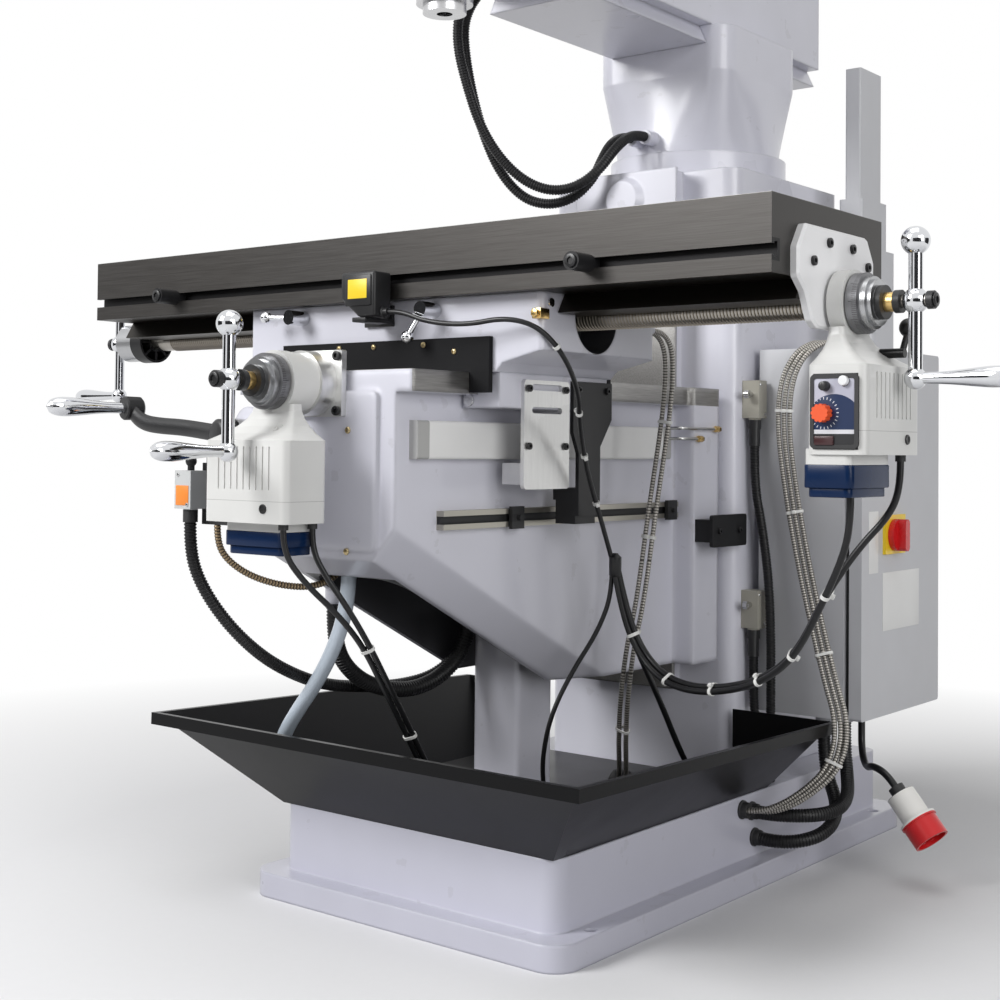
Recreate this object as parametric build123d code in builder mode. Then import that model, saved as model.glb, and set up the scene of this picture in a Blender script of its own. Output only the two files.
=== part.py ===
from build123d import *
import os
from math import cos, radians, sin, tan

# Lengths are millimetres. X runs along the table, Y from the operator to the column, Z up from
# the floor. The origin is the floor point below the spindle axis, with the table at mid travel.

# Running clearances
way_gap = 0.1
journal_gap = 0.05
free_gap = 0.5

# Table
table_length = 1270.0
table_width = 300.0
table_thickness = 95.0
tee_neck = 16.0
tee_head = 28.0
tee_neck_depth = 18.0
tee_head_depth = 14.0
tee_spacing = 64.0
trough_width = 42.0
trough_rim = 16.0
stop_slot_neck = 13.0
stop_slot_head = 19.0
stop_slot_depth = 14.0
stop_slot_drop = 67.0
dovetail_depth = 26.0
dovetail_neck = 75.0
dovetail_lean = 15.0

# Saddle
saddle_width = 566.0
saddle_front = -125.0
saddle_rear = 150.0
saddle_height = 105.0
saddle_wing = 77.0
saddle_foot = 205.0

# Knee
knee_way_height = 800.0
knee_front = -249.0
knee_half_width = 137.0
knee_way_half = 165.0
knee_way_thickness = 30.0
knee_flange_half = 175.0
knee_flange_front = 438.0
knee_flange_rear = 519.0
knee_nose_depth = 255.0
knee_heel_depth = 457.0
knee_heel_front = 150.0
knee_chamfer = 40.0
knee_slot_half = 85.0
knee_slot_front = -190.0
knee_slot_rear = 420.0
knee_roof_depth = 80.0
knee_channel_half = 42.0
knee_channel_depth = 55.0
knee_channel_rear = 410.0
knee_pad_half = 108.0
knee_pad_depth = 6.0

# Column and base
base_half_width = 265.0
base_front = -61.0
base_rear = 960.0
base_height = 140.0
base_wall = 30.0
foot_reach = 35.0
foot_height = 38.0
anchor_radius = 9.0
column_half_width = 194.0
column_front = 540.0
column_rear = 935.0
column_top = 1182.0
column_wall = 28.0
column_corner = 30.0
column_way_front = 490.0
column_way_half = 105.0
column_way_lean = 18.0
column_way_depth = 34.0
column_way_bottom = 290.0
way_boss_radius = 40.0
way_boss_height = 12.0
way_boss_drop = 48.0

# Chip tray
tray_floor_half = 262.0
tray_rise = 142.0
tray_rear = 536.0
tray_sheet = 3.0
tray_lip = 18.0
tray_tilt = 1.6

# Screws
screw_radius = 16.0
cross_screw_radius = 14.0
lift_screw_radius = 19.0
journal_radius = 12.5
crank_journal = 8.0
screw_drop = 27.0
cross_screw_drop = 18.0
lift_screw_y = 183.0

# Power feed units
feed_half_width = 78.5
feed_depth = 77.0
feed_top = 78.0
feed_bottom = 185.0
feed_band = 12.0
feed_cap_height = 31.0
feed_cap_half = 52.0
feed_cap_depth = 46.0
feed_cap_shift = -6.0
feed_neck_front = 28.0
dial_start = 30.0
dial_length = 29.0
dial_radius = 37.5
clutch_start = 67.0
clutch_end_at = 79.0
clutch_radius = 21.0
collar_radius = 12.0
crank_hub = 104.0
crank_throw = 93.0
crank_counter = 72.0
ball_radius = 17.5
handle_ball_radius = 13.5
hub_radius = 16.0
arm_radius = 8.5

# Cabinet on the column's right side
cabinet_left = 208.0
cabinet_right = 367.0
cabinet_front = 600.0
cabinet_rear = 917.0
cabinet_bottom = 253.0
cabinet_top = 870.0
cabinet_sheet = 3.0
door_seam = 9.0
door_depth = 22.0

# Upper works
turret_y = 735.0
turret_radius = 163.0
turret_flange = 48.0
turret_height = 270.0
turret_spigot = 60.0
ram_half_width = 110.0
ram_height = 170.0
ram_front = 112.0
ram_rear = 1010.0
ram_dovetail = 32.0
head_half_width = 100.0
head_bottom = 1445.0
head_top = 1720.0
quill_radius = 43.0
spindle_radius = 25.0
spindle_nose = 1350.0
taper_bore_radius = 12.05
taper_bore_length = 75.0
motor_radius = 98.0
motor_height = 300.0

# Corrugated hoses
rib_pitch = 6.0
rib_depth = 1.6
rib_shares = (0.15, 0.3, 0.7, 0.85)
hose_wall = 1.2

# Heights that follow from the sizes above
knee_nose_height = knee_way_height - knee_nose_depth
knee_heel_height = knee_way_height - knee_heel_depth
knee_roof = knee_way_height - knee_roof_depth
knee_channel_floor = knee_way_height - knee_channel_depth
table_bottom = knee_way_height + saddle_height
table_top = table_bottom + table_thickness
table_half = table_length / 2
table_front = -table_width / 2
screw_height = table_bottom - screw_drop
cross_screw_height = knee_way_height - cross_screw_drop
feed_x = table_half + 8.0
feed_y = knee_front - 64.0
bracket_front = knee_front - 13.0

# Axis planes: local x across the machine side, local y up, local z out towards the operator's crank
table_axis = Plane(origin=(feed_x, 0, screw_height), x_dir=(0, 1, 0), z_dir=(1, 0, 0))
left_axis = Plane(origin=(-table_half, 0, screw_height), x_dir=(0, -1, 0), z_dir=(-1, 0, 0))
cross_axis = Plane(origin=(0, feed_y, cross_screw_height), x_dir=(1, 0, 0), z_dir=(0, -1, 0))


def front_plane(y):
    """Sketch plane facing the operator at depth y: local x is X and local y is Z."""
    return Plane.XZ.offset(-y)


def level(plane, height):
    """Horizontal sketch plane at a height above an axis plane: local y runs inwards."""
    return Plane(origin=plane.origin + plane.y_dir * height, x_dir=plane.x_dir, z_dir=plane.y_dir)


def outline(*points, mode=Mode.ADD):
    """Closed straight-sided face on the sketch being built."""
    Polygon(*points, align=None, mode=mode)


def block(x, y, z, mode=Mode.ADD):
    """Box given by its limits along each axis."""
    with Locations(((x[0] + x[1]) / 2, (y[0] + y[1]) / 2, (z[0] + z[1]) / 2)):
        Box(x[1] - x[0], y[1] - y[0], z[1] - z[0], mode=mode)


def rod(start, end, radius, mode=Mode.ADD):
    """Round bar between two points."""
    span = Vector(*end) - Vector(*start)
    with BuildSketch(Plane(origin=start, z_dir=span)) as section:
        Circle(radius)
    extrude(section.sketch, amount=span.length, mode=mode)


def stepped_shaft(plane, steps):
    """Round bar along a plane's normal, from a list of (start, end, radius)."""
    for start, end, radius in steps:
        with BuildSketch(plane.offset(start)) as section:
            Circle(radius)
        extrude(section.sketch, amount=end - start)


def cord_radii(points):
    """Largest bend radius that each corner's two runs leave room for."""
    radii = []
    for before, corner, after in zip(points, points[1:], points[2:]):
        first = Vector(*corner) - Vector(*before)
        second = Vector(*after) - Vector(*corner)
        half_turn = radians(first.get_angle(second)) / 2
        radii.append(0.45 * min(first.length, second.length) / tan(half_turn))
    return radii


def cord_path(name, points):
    """Line of a cord: straight runs joined by tangent arcs."""
    radii = cord_radii(points)
    print(name, "bend radii:", " ".join(f"{radius:.0f}" for radius in radii))
    with BuildLine() as route:
        FilletPolyline(*points, radius=radii)
    return route.wires()[0]


def cord(path, diameter, mode=Mode.ADD):
    """Round cord along a path."""
    with BuildSketch(Plane(origin=path @ 0, z_dir=path % 0)) as section:
        Circle(diameter / 2)
    sweep(section.sketch, path=path, mode=mode)


def ribbed_hose(path, diameter):
    """Corrugated hose with its bore: plain ends, and ribs at a steady pitch between them."""
    crest = diameter / 2
    root = crest - rib_depth
    count = int((path.length - 2 * diameter) / rib_pitch)
    first_rib = (path.length - count * rib_pitch) / 2
    stations = [(0, root)]
    for rib in range(count):
        for share, radius in zip(rib_shares, (root, crest, crest, root)):
            stations.append((first_rib + (rib + share) * rib_pitch, radius))
    stations.append((path.length, root))
    rings = []
    across = Vector(1, 1, 0)
    for distance, radius in stations:
        along = path % (distance / path.length)
        across = (across - along * across.dot(along)).normalized()
        with BuildSketch(Plane(origin=path @ (distance / path.length), x_dir=across, z_dir=along)) as ring:
            Circle(radius)
        rings.append(ring.sketch)
    loft(rings, ruled=True)
    cord(path, 2 * (root - hose_wall), mode=Mode.SUBTRACT)


def shifted(points, step):
    """The same route moved sideways, for cords that run together."""
    return [tuple(a + b for a, b in zip(point, step)) for point in points]


# Base casting: an open-bottomed box on a foot flange with a centre rib
base_middle = (base_front + base_rear) / 2
base_depth = base_rear - base_front
with BuildPart() as base:
    with BuildSketch(Plane.XY):
        with Locations((0, base_middle)):
            RectangleRounded(2 * (base_half_width + foot_reach), base_depth + 2 * foot_reach, 40)
    extrude(amount=foot_height)
    with BuildSketch(Plane.XY.offset(foot_height)):
        with Locations((0, base_middle)):
            RectangleRounded(2 * base_half_width, base_depth, 30)
    extrude(amount=base_height - foot_height)
    with BuildSketch(Plane.XY):
        with Locations((0, base_middle)):
            RectangleRounded(2 * (base_half_width - base_wall), base_depth - 2 * base_wall, 20)
        with Locations((0, base_middle)):
            Rectangle(base_wall, base_depth, mode=Mode.SUBTRACT)
    extrude(amount=base_height - base_wall, mode=Mode.SUBTRACT)
    with BuildSketch(Plane.XY):
        with Locations((0, lift_screw_y)):
            Circle(lift_screw_radius + 14)
    extrude(amount=base_height, mode=Mode.SUBTRACT)
    anchor_x = 2 * (base_half_width + foot_reach / 2)
    anchor_y = base_depth - 120
    with Locations((0, base_middle, foot_height)):
        with GridLocations(anchor_x, anchor_y, 2, 2):
            Hole(anchor_radius, depth=foot_height)

# Column: hollow casting with a male dovetail way down its front
column_middle = (column_front + column_rear) / 2
with BuildPart() as column:
    with BuildSketch(Plane.XY.offset(base_height)):
        with Locations((0, column_middle)):
            RectangleRounded(2 * column_half_width, column_rear - column_front, column_corner)
    extrude(amount=column_top - base_height)
    with BuildSketch(Plane.XY.offset(base_height)):
        with Locations((0, column_middle)):
            RectangleRounded(
                2 * (column_half_width - column_wall),
                column_rear - column_front - 2 * column_wall,
                column_corner / 2,
            )
    extrude(amount=column_top - base_height - column_wall, mode=Mode.SUBTRACT)
    way_neck = column_way_half - column_way_lean
    way_root = column_way_front + column_way_depth
    with BuildSketch(Plane.XY.offset(column_way_bottom)):
        outline(
            (-column_way_half, column_way_front),
            (column_way_half, column_way_front),
            (column_way_half, column_way_front + 6),
            (way_neck, way_root),
            (way_neck, column_front + 1),
            (-way_neck, column_front + 1),
            (-way_neck, way_root),
            (-column_way_half, column_way_front + 6),
        )
    extrude(amount=column_top - column_way_bottom)
    with BuildSketch(front_plane(column_way_front)):
        with Locations((0, column_top - way_boss_drop)):
            Circle(way_boss_radius)
    extrude(amount=way_boss_height, taper=35)
    with BuildSketch(Plane.XY.offset(column_top)):
        with Locations((0, turret_y)):
            Circle(turret_spigot + journal_gap)
    extrude(amount=-column_wall, mode=Mode.SUBTRACT)

# Chip tray: folded sheet with sloping sides, its rim tilted down towards the column
tray_front_rim = base_front - tray_rise
rim_height = base_height + tray_rise
tilt = radians(tray_tilt)
rim_length = (tray_rear - tray_front_rim) / cos(tilt)
rim_front_half = tray_floor_half + tray_rise
rim_rear_half = rim_front_half - rim_length * sin(tilt)
rim_plane = Plane(
    origin=(0, tray_front_rim, rim_height), x_dir=(1, 0, 0), z_dir=(0, sin(tilt), cos(tilt))
)


def tray_face(grow, rise):
    """Floor outline of the tray, spread by its 45 degree sides after a rise."""
    half = tray_floor_half + grow + rise
    front = base_front - grow - rise
    rear = tray_rear + grow
    outline((-half, front), (half, front), (half, rear), (-half, rear))


tray_overshoot = tray_rise + 10
with BuildPart() as chip_tray:
    with BuildSketch(Plane.XY.offset(base_height)):
        tray_face(0, 0)
    with BuildSketch(Plane.XY.offset(base_height + tray_overshoot)):
        tray_face(0, tray_overshoot)
    loft(ruled=True)
    with BuildSketch(Plane.XY.offset(base_height + tray_sheet)):
        tray_face(-tray_sheet, 0)
    with BuildSketch(Plane.XY.offset(base_height + tray_overshoot + 1)):
        tray_face(-tray_sheet, tray_overshoot + 1 - tray_sheet)
    loft(ruled=True, mode=Mode.SUBTRACT)
    split(bisect_by=rim_plane, keep=Keep.BOTTOM)
    with BuildSketch(rim_plane.offset(-tray_lip)):
        outline(
            (-rim_front_half - tray_sheet, -tray_sheet),
            (rim_front_half + tray_sheet, -tray_sheet),
            (rim_rear_half + tray_sheet, rim_length),
            (-rim_rear_half - tray_sheet, rim_length),
        )
        outline(
            (-rim_front_half, 0),
            (rim_front_half, 0),
            (rim_rear_half, rim_length + 1),
            (-rim_rear_half, rim_length + 1),
            mode=Mode.SUBTRACT,
        )
    extrude(amount=tray_lip)
    with BuildSketch(rim_plane.offset(-tray_sheet)):
        outline(
            (-rim_front_half - tray_sheet, -tray_sheet),
            (rim_front_half + tray_sheet, -tray_sheet),
            (rim_rear_half + tray_sheet, rim_length),
            (-rim_rear_half - tray_sheet, rim_length),
        )
        outline(
            (-rim_front_half + 2 * tray_sheet, 2 * tray_sheet),
            (rim_front_half - 2 * tray_sheet, 2 * tray_sheet),
            (rim_rear_half - 2 * tray_sheet, rim_length + 1),
            (-rim_rear_half + 2 * tray_sheet, rim_length + 1),
            mode=Mode.SUBTRACT,
        )
    extrude(amount=tray_sheet)
    block(
        (-column_half_width - tray_sheet, column_half_width + tray_sheet),
        (tray_rear - 2 * tray_sheet, tray_rear + tray_sheet),
        (base_height + tray_sheet, rim_height),
        mode=Mode.SUBTRACT,
    )
    with BuildSketch(Plane.XY.offset(base_height)):
        with Locations((0, lift_screw_y)):
            Circle(lift_screw_radius + 14)
    extrude(amount=tray_sheet, mode=Mode.SUBTRACT)

# Pedestal that holds the elevating nut, standing on the tray floor
pedestal_half = 45.0
pedestal_top = 470.0
with BuildPart() as elevating_pedestal:
    with BuildSketch(Plane.XY.offset(base_height + tray_sheet)):
        with Locations((0, lift_screw_y)):
            RectangleRounded(2 * pedestal_half + 40, 2 * pedestal_half + 40, 12)
    extrude(amount=18)
    with BuildSketch(Plane.XY.offset(base_height + tray_sheet)):
        with Locations((0, lift_screw_y)):
            RectangleRounded(2 * pedestal_half, 2 * pedestal_half, 8)
    extrude(amount=pedestal_top - base_height - tray_sheet)
    with BuildSketch(Plane.XY.offset(base_height + tray_sheet)):
        with Locations((0, lift_screw_y)):
            Circle(lift_screw_radius + journal_gap)
    extrude(amount=pedestal_top - base_height - tray_sheet, mode=Mode.SUBTRACT)

# Elevating drive: the crank shaft runs from the screw's axis out through the knee's front
shaft_drop = 87.0
shaft_height = knee_way_height - shaft_drop
shaft_angle = radians(11.3)
shaft_radius = 14.0
shaft_reach = 530.0
shaft_out = Vector(-sin(shaft_angle), -cos(shaft_angle), 0)
screw_top = Vector(0, lift_screw_y, shaft_height)
shaft_plane = Plane(origin=screw_top, x_dir=(cos(shaft_angle), -sin(shaft_angle), 0), z_dir=shaft_out)
bevel_radius = 48.0
bevel_face = 20.0
pinion_radius = 22.0
gear_thickness = 14.0
gear_rim = shaft_height - pinion_radius - free_gap
gear_low = gear_rim - gear_thickness
boss_start = 200.0
boss_end = 490.0

# Gland and drain pipe on the knee's underside
conduit_gland = (-100.0, -118.0)
conduit_gland_radius = 14.0
conduit_gland_low = knee_nose_height - 79.0
drain_pipe = (-40.0, -150.0)
drain_pipe_radius = 8.0
drain_pipe_low = knee_nose_height - 5.0

# Knee: a hollow casting with box ways on top and a female dovetail behind
with BuildPart() as knee:
    with BuildSketch(Plane.YZ.offset(-knee_half_width)):
        outline(
            (knee_front, knee_way_height),
            (knee_front, knee_nose_height),
            (knee_heel_front, knee_heel_height),
            (knee_flange_rear, knee_heel_height),
            (knee_flange_rear, knee_way_height),
        )
    extrude(amount=2 * knee_half_width)
    side_edges = knee.edges().filter_by(Axis.X, reverse=True)
    low_edges = [
        edge
        for edge in side_edges
        if edge.center().Z < knee_nose_height and edge.center().Y < knee_heel_front
        and abs(edge.center().X) > knee_half_width - 1 and edge.length > 200
    ]
    chamfer(low_edges, knee_chamfer)
    block(
        (-knee_way_half, knee_way_half),
        (knee_front, knee_flange_rear),
        (knee_way_height - knee_way_thickness, knee_way_height),
    )
    with BuildSketch(Plane.XY.offset(knee_heel_height)):
        with Locations((0, (knee_flange_front + knee_flange_rear) / 2)):
            Rectangle(2 * knee_flange_half, knee_flange_rear - knee_flange_front)
    extrude(amount=knee_way_height - knee_heel_height)
    with BuildSketch(front_plane(knee_front)):
        with Locations((0, (knee_nose_height + knee_way_height) / 2 - 8)):
            RectangleRounded(2 * knee_pad_half, knee_way_height - knee_nose_height - 40, 10)
    extrude(amount=knee_pad_depth)
    with BuildSketch(shaft_plane.offset(boss_start)):
        Circle(38)
    extrude(amount=boss_end - boss_start)
    with BuildSketch(Plane.XY.offset(knee_heel_height - 1)):
        with Locations((0, (knee_slot_front + knee_slot_rear) / 2)):
            RectangleRounded(2 * knee_slot_half, knee_slot_rear - knee_slot_front, 40)
    extrude(amount=knee_roof - knee_heel_height + 1, mode=Mode.SUBTRACT)
    block(
        (-knee_channel_half, knee_channel_half),
        (knee_front, knee_channel_rear),
        (knee_channel_floor, knee_way_height),
        mode=Mode.SUBTRACT,
    )
    with BuildSketch(front_plane(knee_front)):
        with Locations((0, cross_screw_height)):
            Circle(journal_radius + journal_gap + 6)
    extrude(amount=knee_pad_depth, mode=Mode.SUBTRACT)
    groove_half = column_way_half + way_gap
    groove_neck = way_neck + way_gap
    with BuildSketch(Plane.XY.offset(knee_heel_height)):
        outline(
            (-groove_half, column_way_front - way_gap),
            (groove_half, column_way_front - way_gap),
            (groove_half, column_way_front + 6),
            (groove_neck, way_root),
            (groove_neck, knee_flange_rear + 10),
            (-groove_neck, knee_flange_rear + 10),
            (-groove_neck, way_root),
            (-groove_half, column_way_front + 6),
        )
    extrude(amount=knee_way_height - knee_heel_height, mode=Mode.SUBTRACT)
    with BuildSketch(Plane.XY.offset(knee_roof - 1)):
        with Locations((0, lift_screw_y)):
            Circle(journal_radius + journal_gap)
    extrude(amount=knee_channel_floor - knee_roof + 2, mode=Mode.SUBTRACT)
    with BuildSketch(shaft_plane.offset(boss_start)):
        Circle(shaft_radius + journal_gap)
    extrude(amount=boss_end - boss_start + 1, mode=Mode.SUBTRACT)
    with BuildSketch(shaft_plane.offset(bevel_radius - bevel_face - 2)):
        Circle(pinion_radius + 3)
    extrude(amount=boss_start - bevel_radius + bevel_face + 2, mode=Mode.SUBTRACT)
    rod((*conduit_gland, conduit_gland_low + 54), (*conduit_gland, conduit_gland_low), conduit_gland_radius)
    rod((*drain_pipe, knee_roof), (*drain_pipe, drain_pipe_low), drain_pipe_radius)

# Elevating screw with its bevel gear, hanging from the knee's roof
lift_screw_low = 170.0
with BuildPart() as elevating_screw:
    lift_axis = Plane(origin=(0, lift_screw_y, 0))
    stepped_shaft(
        lift_axis,
        [
            (lift_screw_low, gear_low, lift_screw_radius),
            (gear_low - 14, gear_low, lift_screw_radius + 8),
            (gear_low, gear_rim, bevel_radius),
            (gear_rim, knee_roof - way_gap, journal_radius + 2),
            (knee_roof - way_gap, knee_channel_floor - 1, journal_radius),
        ],
    )
    cone_rise = pinion_radius * bevel_face / bevel_radius
    with Locations((0, lift_screw_y, gear_rim + cone_rise / 2)):
        Cone(bevel_radius, bevel_radius - bevel_face, cone_rise)

# Shaft from the bevel pinion to the jaw clutch outside
with BuildPart() as elevating_shaft:
    stepped_shaft(
        shaft_plane,
        [
            (bevel_radius - 4, shaft_reach, shaft_radius),
            (bevel_radius, bevel_radius + 10, pinion_radius),
            (boss_end + free_gap, boss_end + 22, 21),
        ],
    )
    with BuildSketch(shaft_plane.offset(bevel_radius - bevel_face)):
        Circle(pinion_radius * (1 - bevel_face / bevel_radius))
    with BuildSketch(shaft_plane.offset(bevel_radius)):
        Circle(pinion_radius)
    loft()

# Knee crank: dog-leg arm pulled clear of the jaw, with a turning handle
crank_seat = boss_end + 24
crank_arm = 220.0
crank_rise = 37.0
crank_step = 26.0
crank_plane = shaft_plane.offset(crank_seat)
with BuildPart() as knee_crank:
    with BuildSketch(crank_plane):
        Circle(20)
        Circle(shaft_radius + journal_gap, mode=Mode.SUBTRACT)
    extrude(amount=26)
    with BuildSketch(crank_plane.offset(8)):
        with BuildLine():
            Line((-10, 0), (-crank_arm * 0.45, crank_rise * 0.45))
        trace(line_width=24)
        Circle(17, mode=Mode.SUBTRACT)
    extrude(amount=14)
    arm_bend = crank_plane.from_local_coords((-crank_arm * 0.4, crank_rise * 0.4, 15))
    arm_end = crank_plane.from_local_coords((-crank_arm * 0.82, crank_rise * 0.82, 15 + crank_step))
    rod(arm_bend, arm_end, 9)
    with BuildSketch(crank_plane.offset(crank_step + 3)):
        with Locations((-crank_arm, crank_rise)):
            RectangleRounded(46, 30, 8)
        with Locations((-crank_arm * 0.86, crank_rise * 0.86)):
            Circle(13)
    extrude(amount=24)
    with BuildSketch(crank_plane.offset(crank_step)):
        with Locations((-crank_arm, crank_rise)):
            Circle(6 + journal_gap)
    extrude(amount=40, mode=Mode.SUBTRACT)


def grip(plane, length, neck, belly):
    """Turned handle along a plane's normal: a slim neck, a full belly and a rounded end."""
    side = Plane(origin=plane.origin, x_dir=plane.x_dir, z_dir=-plane.y_dir)
    with BuildSketch(side) as profile:
        with BuildLine():
            Polyline((0, length), (0, 0), (neck, 0), (neck, 0.1 * length))
            Spline(
                (neck, 0.1 * length),
                (belly, 0.62 * length),
                (0.7 * belly, 0.95 * length),
                tangents=[(0, 1), (-0.7, 1)],
            )
            Line((0.7 * belly, 0.95 * length), (0, length))
        make_face()
    revolve(profile.sketch, axis=Axis(plane.origin, plane.z_dir))


crank_pin = Plane(
    origin=crank_plane.from_local_coords((-crank_arm, crank_rise, crank_step + 27 + free_gap)),
    x_dir=shaft_plane.x_dir,
    z_dir=shaft_out,
)
with BuildPart() as knee_crank_handle:
    grip(crank_pin, 118, 8, 13)
    with BuildSketch(crank_pin.offset(-26)):
        Circle(6)
    extrude(amount=27)

# Saddle: carries the table's dovetail and slides on the knee's box ways
saddle_half = saddle_width / 2
saddle_top = table_bottom - way_gap
saddle_bottom = knee_way_height + way_gap
wing_bottom = saddle_top - saddle_wing
dovetail_root = dovetail_neck + dovetail_lean
dovetail_low = table_bottom - dovetail_depth
nut_half = 45.0
nut_block_half = 30.0
nut_low = screw_height - 48.0
lock_height = saddle_top - 17.0
lock_places = (-163.0, 97.0)
lock_pin = 6.0
saddle_glands = (258.0, 271.0)
saddle_gland_height = table_bottom - 33.0
saddle_gland_radius = 6.0
screw_mouth_radius = 50.0
screw_mouth_depth = 60.0
with BuildPart() as saddle:
    with BuildSketch(front_plane(saddle_rear)):
        outline(
            (-saddle_half, saddle_top),
            (saddle_half, saddle_top),
            (saddle_half, wing_bottom),
            (saddle_foot + 12, saddle_bottom + 12),
            (saddle_foot, saddle_bottom),
            (-saddle_foot, saddle_bottom),
            (-saddle_foot - 12, saddle_bottom + 12),
            (-saddle_half, wing_bottom),
        )
    extrude(amount=saddle_rear - saddle_front)
    fillet(saddle.edges().filter_by(Axis.Z), 10)
    with BuildSketch(Plane.YZ.offset(-saddle_half)):
        outline(
            (-dovetail_neck - way_gap, saddle_top),
            (dovetail_neck + way_gap, saddle_top),
            (dovetail_root + way_gap, dovetail_low - way_gap),
            (-dovetail_root - way_gap, dovetail_low - way_gap),
        )
        with Locations((0, screw_height)):
            Circle(screw_radius + 8)
    extrude(amount=saddle_width, mode=Mode.SUBTRACT)
    block(
        (-nut_half, nut_half),
        (-nut_block_half, nut_block_half),
        (nut_low, dovetail_low),
        mode=Mode.SUBTRACT,
    )
    for place in lock_places:
        rod(
            (place, saddle_front, lock_height),
            (place, saddle_front + 20, lock_height),
            lock_pin + journal_gap,
            mode=Mode.SUBTRACT,
        )
    for place in saddle_glands:
        rod(
            (place, saddle_rear, saddle_gland_height),
            (place, saddle_rear + 10, saddle_gland_height),
            saddle_gland_radius,
        )
    for side in (-1, 1):
        rod(
            (side * saddle_half, 0, screw_height),
            (side * (saddle_half - screw_mouth_depth), 0, screw_height),
            screw_mouth_radius,
            mode=Mode.SUBTRACT,
        )

# Keeper strips that hook the saddle under the knee's ways
keeper_inner = knee_half_width + 4
keeper_low = knee_way_height - knee_way_thickness - 18
way_under = knee_way_height - knee_way_thickness - way_gap
with BuildPart() as keeper_strips:
    with BuildSketch(front_plane(saddle_rear - 10)):
        outline(
            (knee_way_half + way_gap, saddle_bottom),
            (saddle_foot, saddle_bottom),
            (saddle_foot, keeper_low),
            (keeper_inner, keeper_low),
            (keeper_inner, way_under),
            (knee_way_half + way_gap, way_under),
        )
    extrude(amount=saddle_rear - saddle_front - 20)
    mirror(about=Plane.YZ)

# Wiper plates on the saddle's front and rear
wiper_thickness = 8.0
wiper_half = 200.0
wiper_top = saddle_bottom + 48
wiper_low = keeper_low + 20
wiper_edge = knee_way_half + free_gap
with BuildPart() as way_wipers:
    for rear_face in (saddle_front, saddle_rear + wiper_thickness):
        with BuildSketch(front_plane(rear_face)) as plate:
            outline(
                (-wiper_half, wiper_top),
                (wiper_half, wiper_top),
                (wiper_half, wiper_low),
                (wiper_edge, wiper_low),
                (wiper_edge, saddle_bottom + free_gap),
                (-wiper_edge, saddle_bottom + free_gap),
                (-wiper_edge, wiper_low),
                (-wiper_half, wiper_low),
            )
        extrude(plate.sketch, amount=wiper_thickness)

# Nuts for the table and cross screws, both carried by the saddle
cross_nut = (-10.0, 60.0)
with BuildPart() as lead_screw_nuts:
    block((-nut_half, nut_half), (-nut_block_half, nut_block_half), (nut_low, dovetail_low - way_gap))
    rod((-nut_half, 0, screw_height), (nut_half, 0, screw_height), screw_radius + 5.5)
    rod(
        (-nut_half, 0, screw_height),
        (nut_half, 0, screw_height),
        screw_radius + journal_gap,
        mode=Mode.SUBTRACT,
    )
    block((-28, 28), cross_nut, (cross_screw_height - 21, saddle_bottom))
    rod(
        (0, cross_nut[0], cross_screw_height),
        (0, cross_nut[1], cross_screw_height),
        cross_screw_radius + journal_gap,
        mode=Mode.SUBTRACT,
    )

# Limit switch for the table's travel, on a bracket in front of the saddle
table_switch = (-70.0, 36.0)
table_switch_front = table_front - 40
table_switch_back = table_front - 3
table_switch_low = table_bottom - 30
table_switch_high = table_bottom + 43
switch_foot = (-50.0, 20.0)
switch_foot_thickness = 6.0
switch_foot_low = table_switch_low - switch_foot_thickness
switch_gland = (table_front - 22, table_bottom - 20)
switch_gland_length = 12.0
switch_gland_radius = 6.0
with BuildPart() as table_limit_switch:
    block(table_switch, (table_switch_front, table_switch_back), (table_switch_low, table_switch_high))
    fillet(table_limit_switch.edges().filter_by(Axis.Y), 4)
    block(switch_foot, (table_switch_back, saddle_front), (switch_foot_low, table_bottom - switch_foot_thickness))
    block(
        switch_foot,
        (table_switch_back - switch_foot_thickness, table_switch_back),
        (switch_foot_low, table_switch_low),
    )
    rod(
        (table_switch[1], *switch_gland),
        (table_switch[1] + switch_gland_length, *switch_gland),
        switch_gland_radius,
    )

# Read head for the cross scale, on a slotted plate bolted to the keeper
side_plate = 6.0
reader_middle = -15.0
reader_width = 106.0
reader_height = 152.0
reader_top = knee_way_height - 8.0
reader_slot = 70.0
with BuildPart() as scale_reader_bracket:
    with BuildSketch(Plane.YZ.offset(saddle_foot)):
        with Locations((reader_middle, reader_top - reader_height / 2)):
            RectangleRounded(reader_width, reader_height, 6)
        with Locations((reader_middle, reader_top - 10), (reader_middle, reader_top - 42)):
            SlotOverall(reader_slot, 9, mode=Mode.SUBTRACT)
    extrude(amount=side_plate)
    block(
        (knee_half_width + 18, saddle_foot),
        (reader_middle - 30, reader_middle + 30),
        (reader_top - reader_height + 6, reader_top - reader_height + 36),
    )

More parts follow.
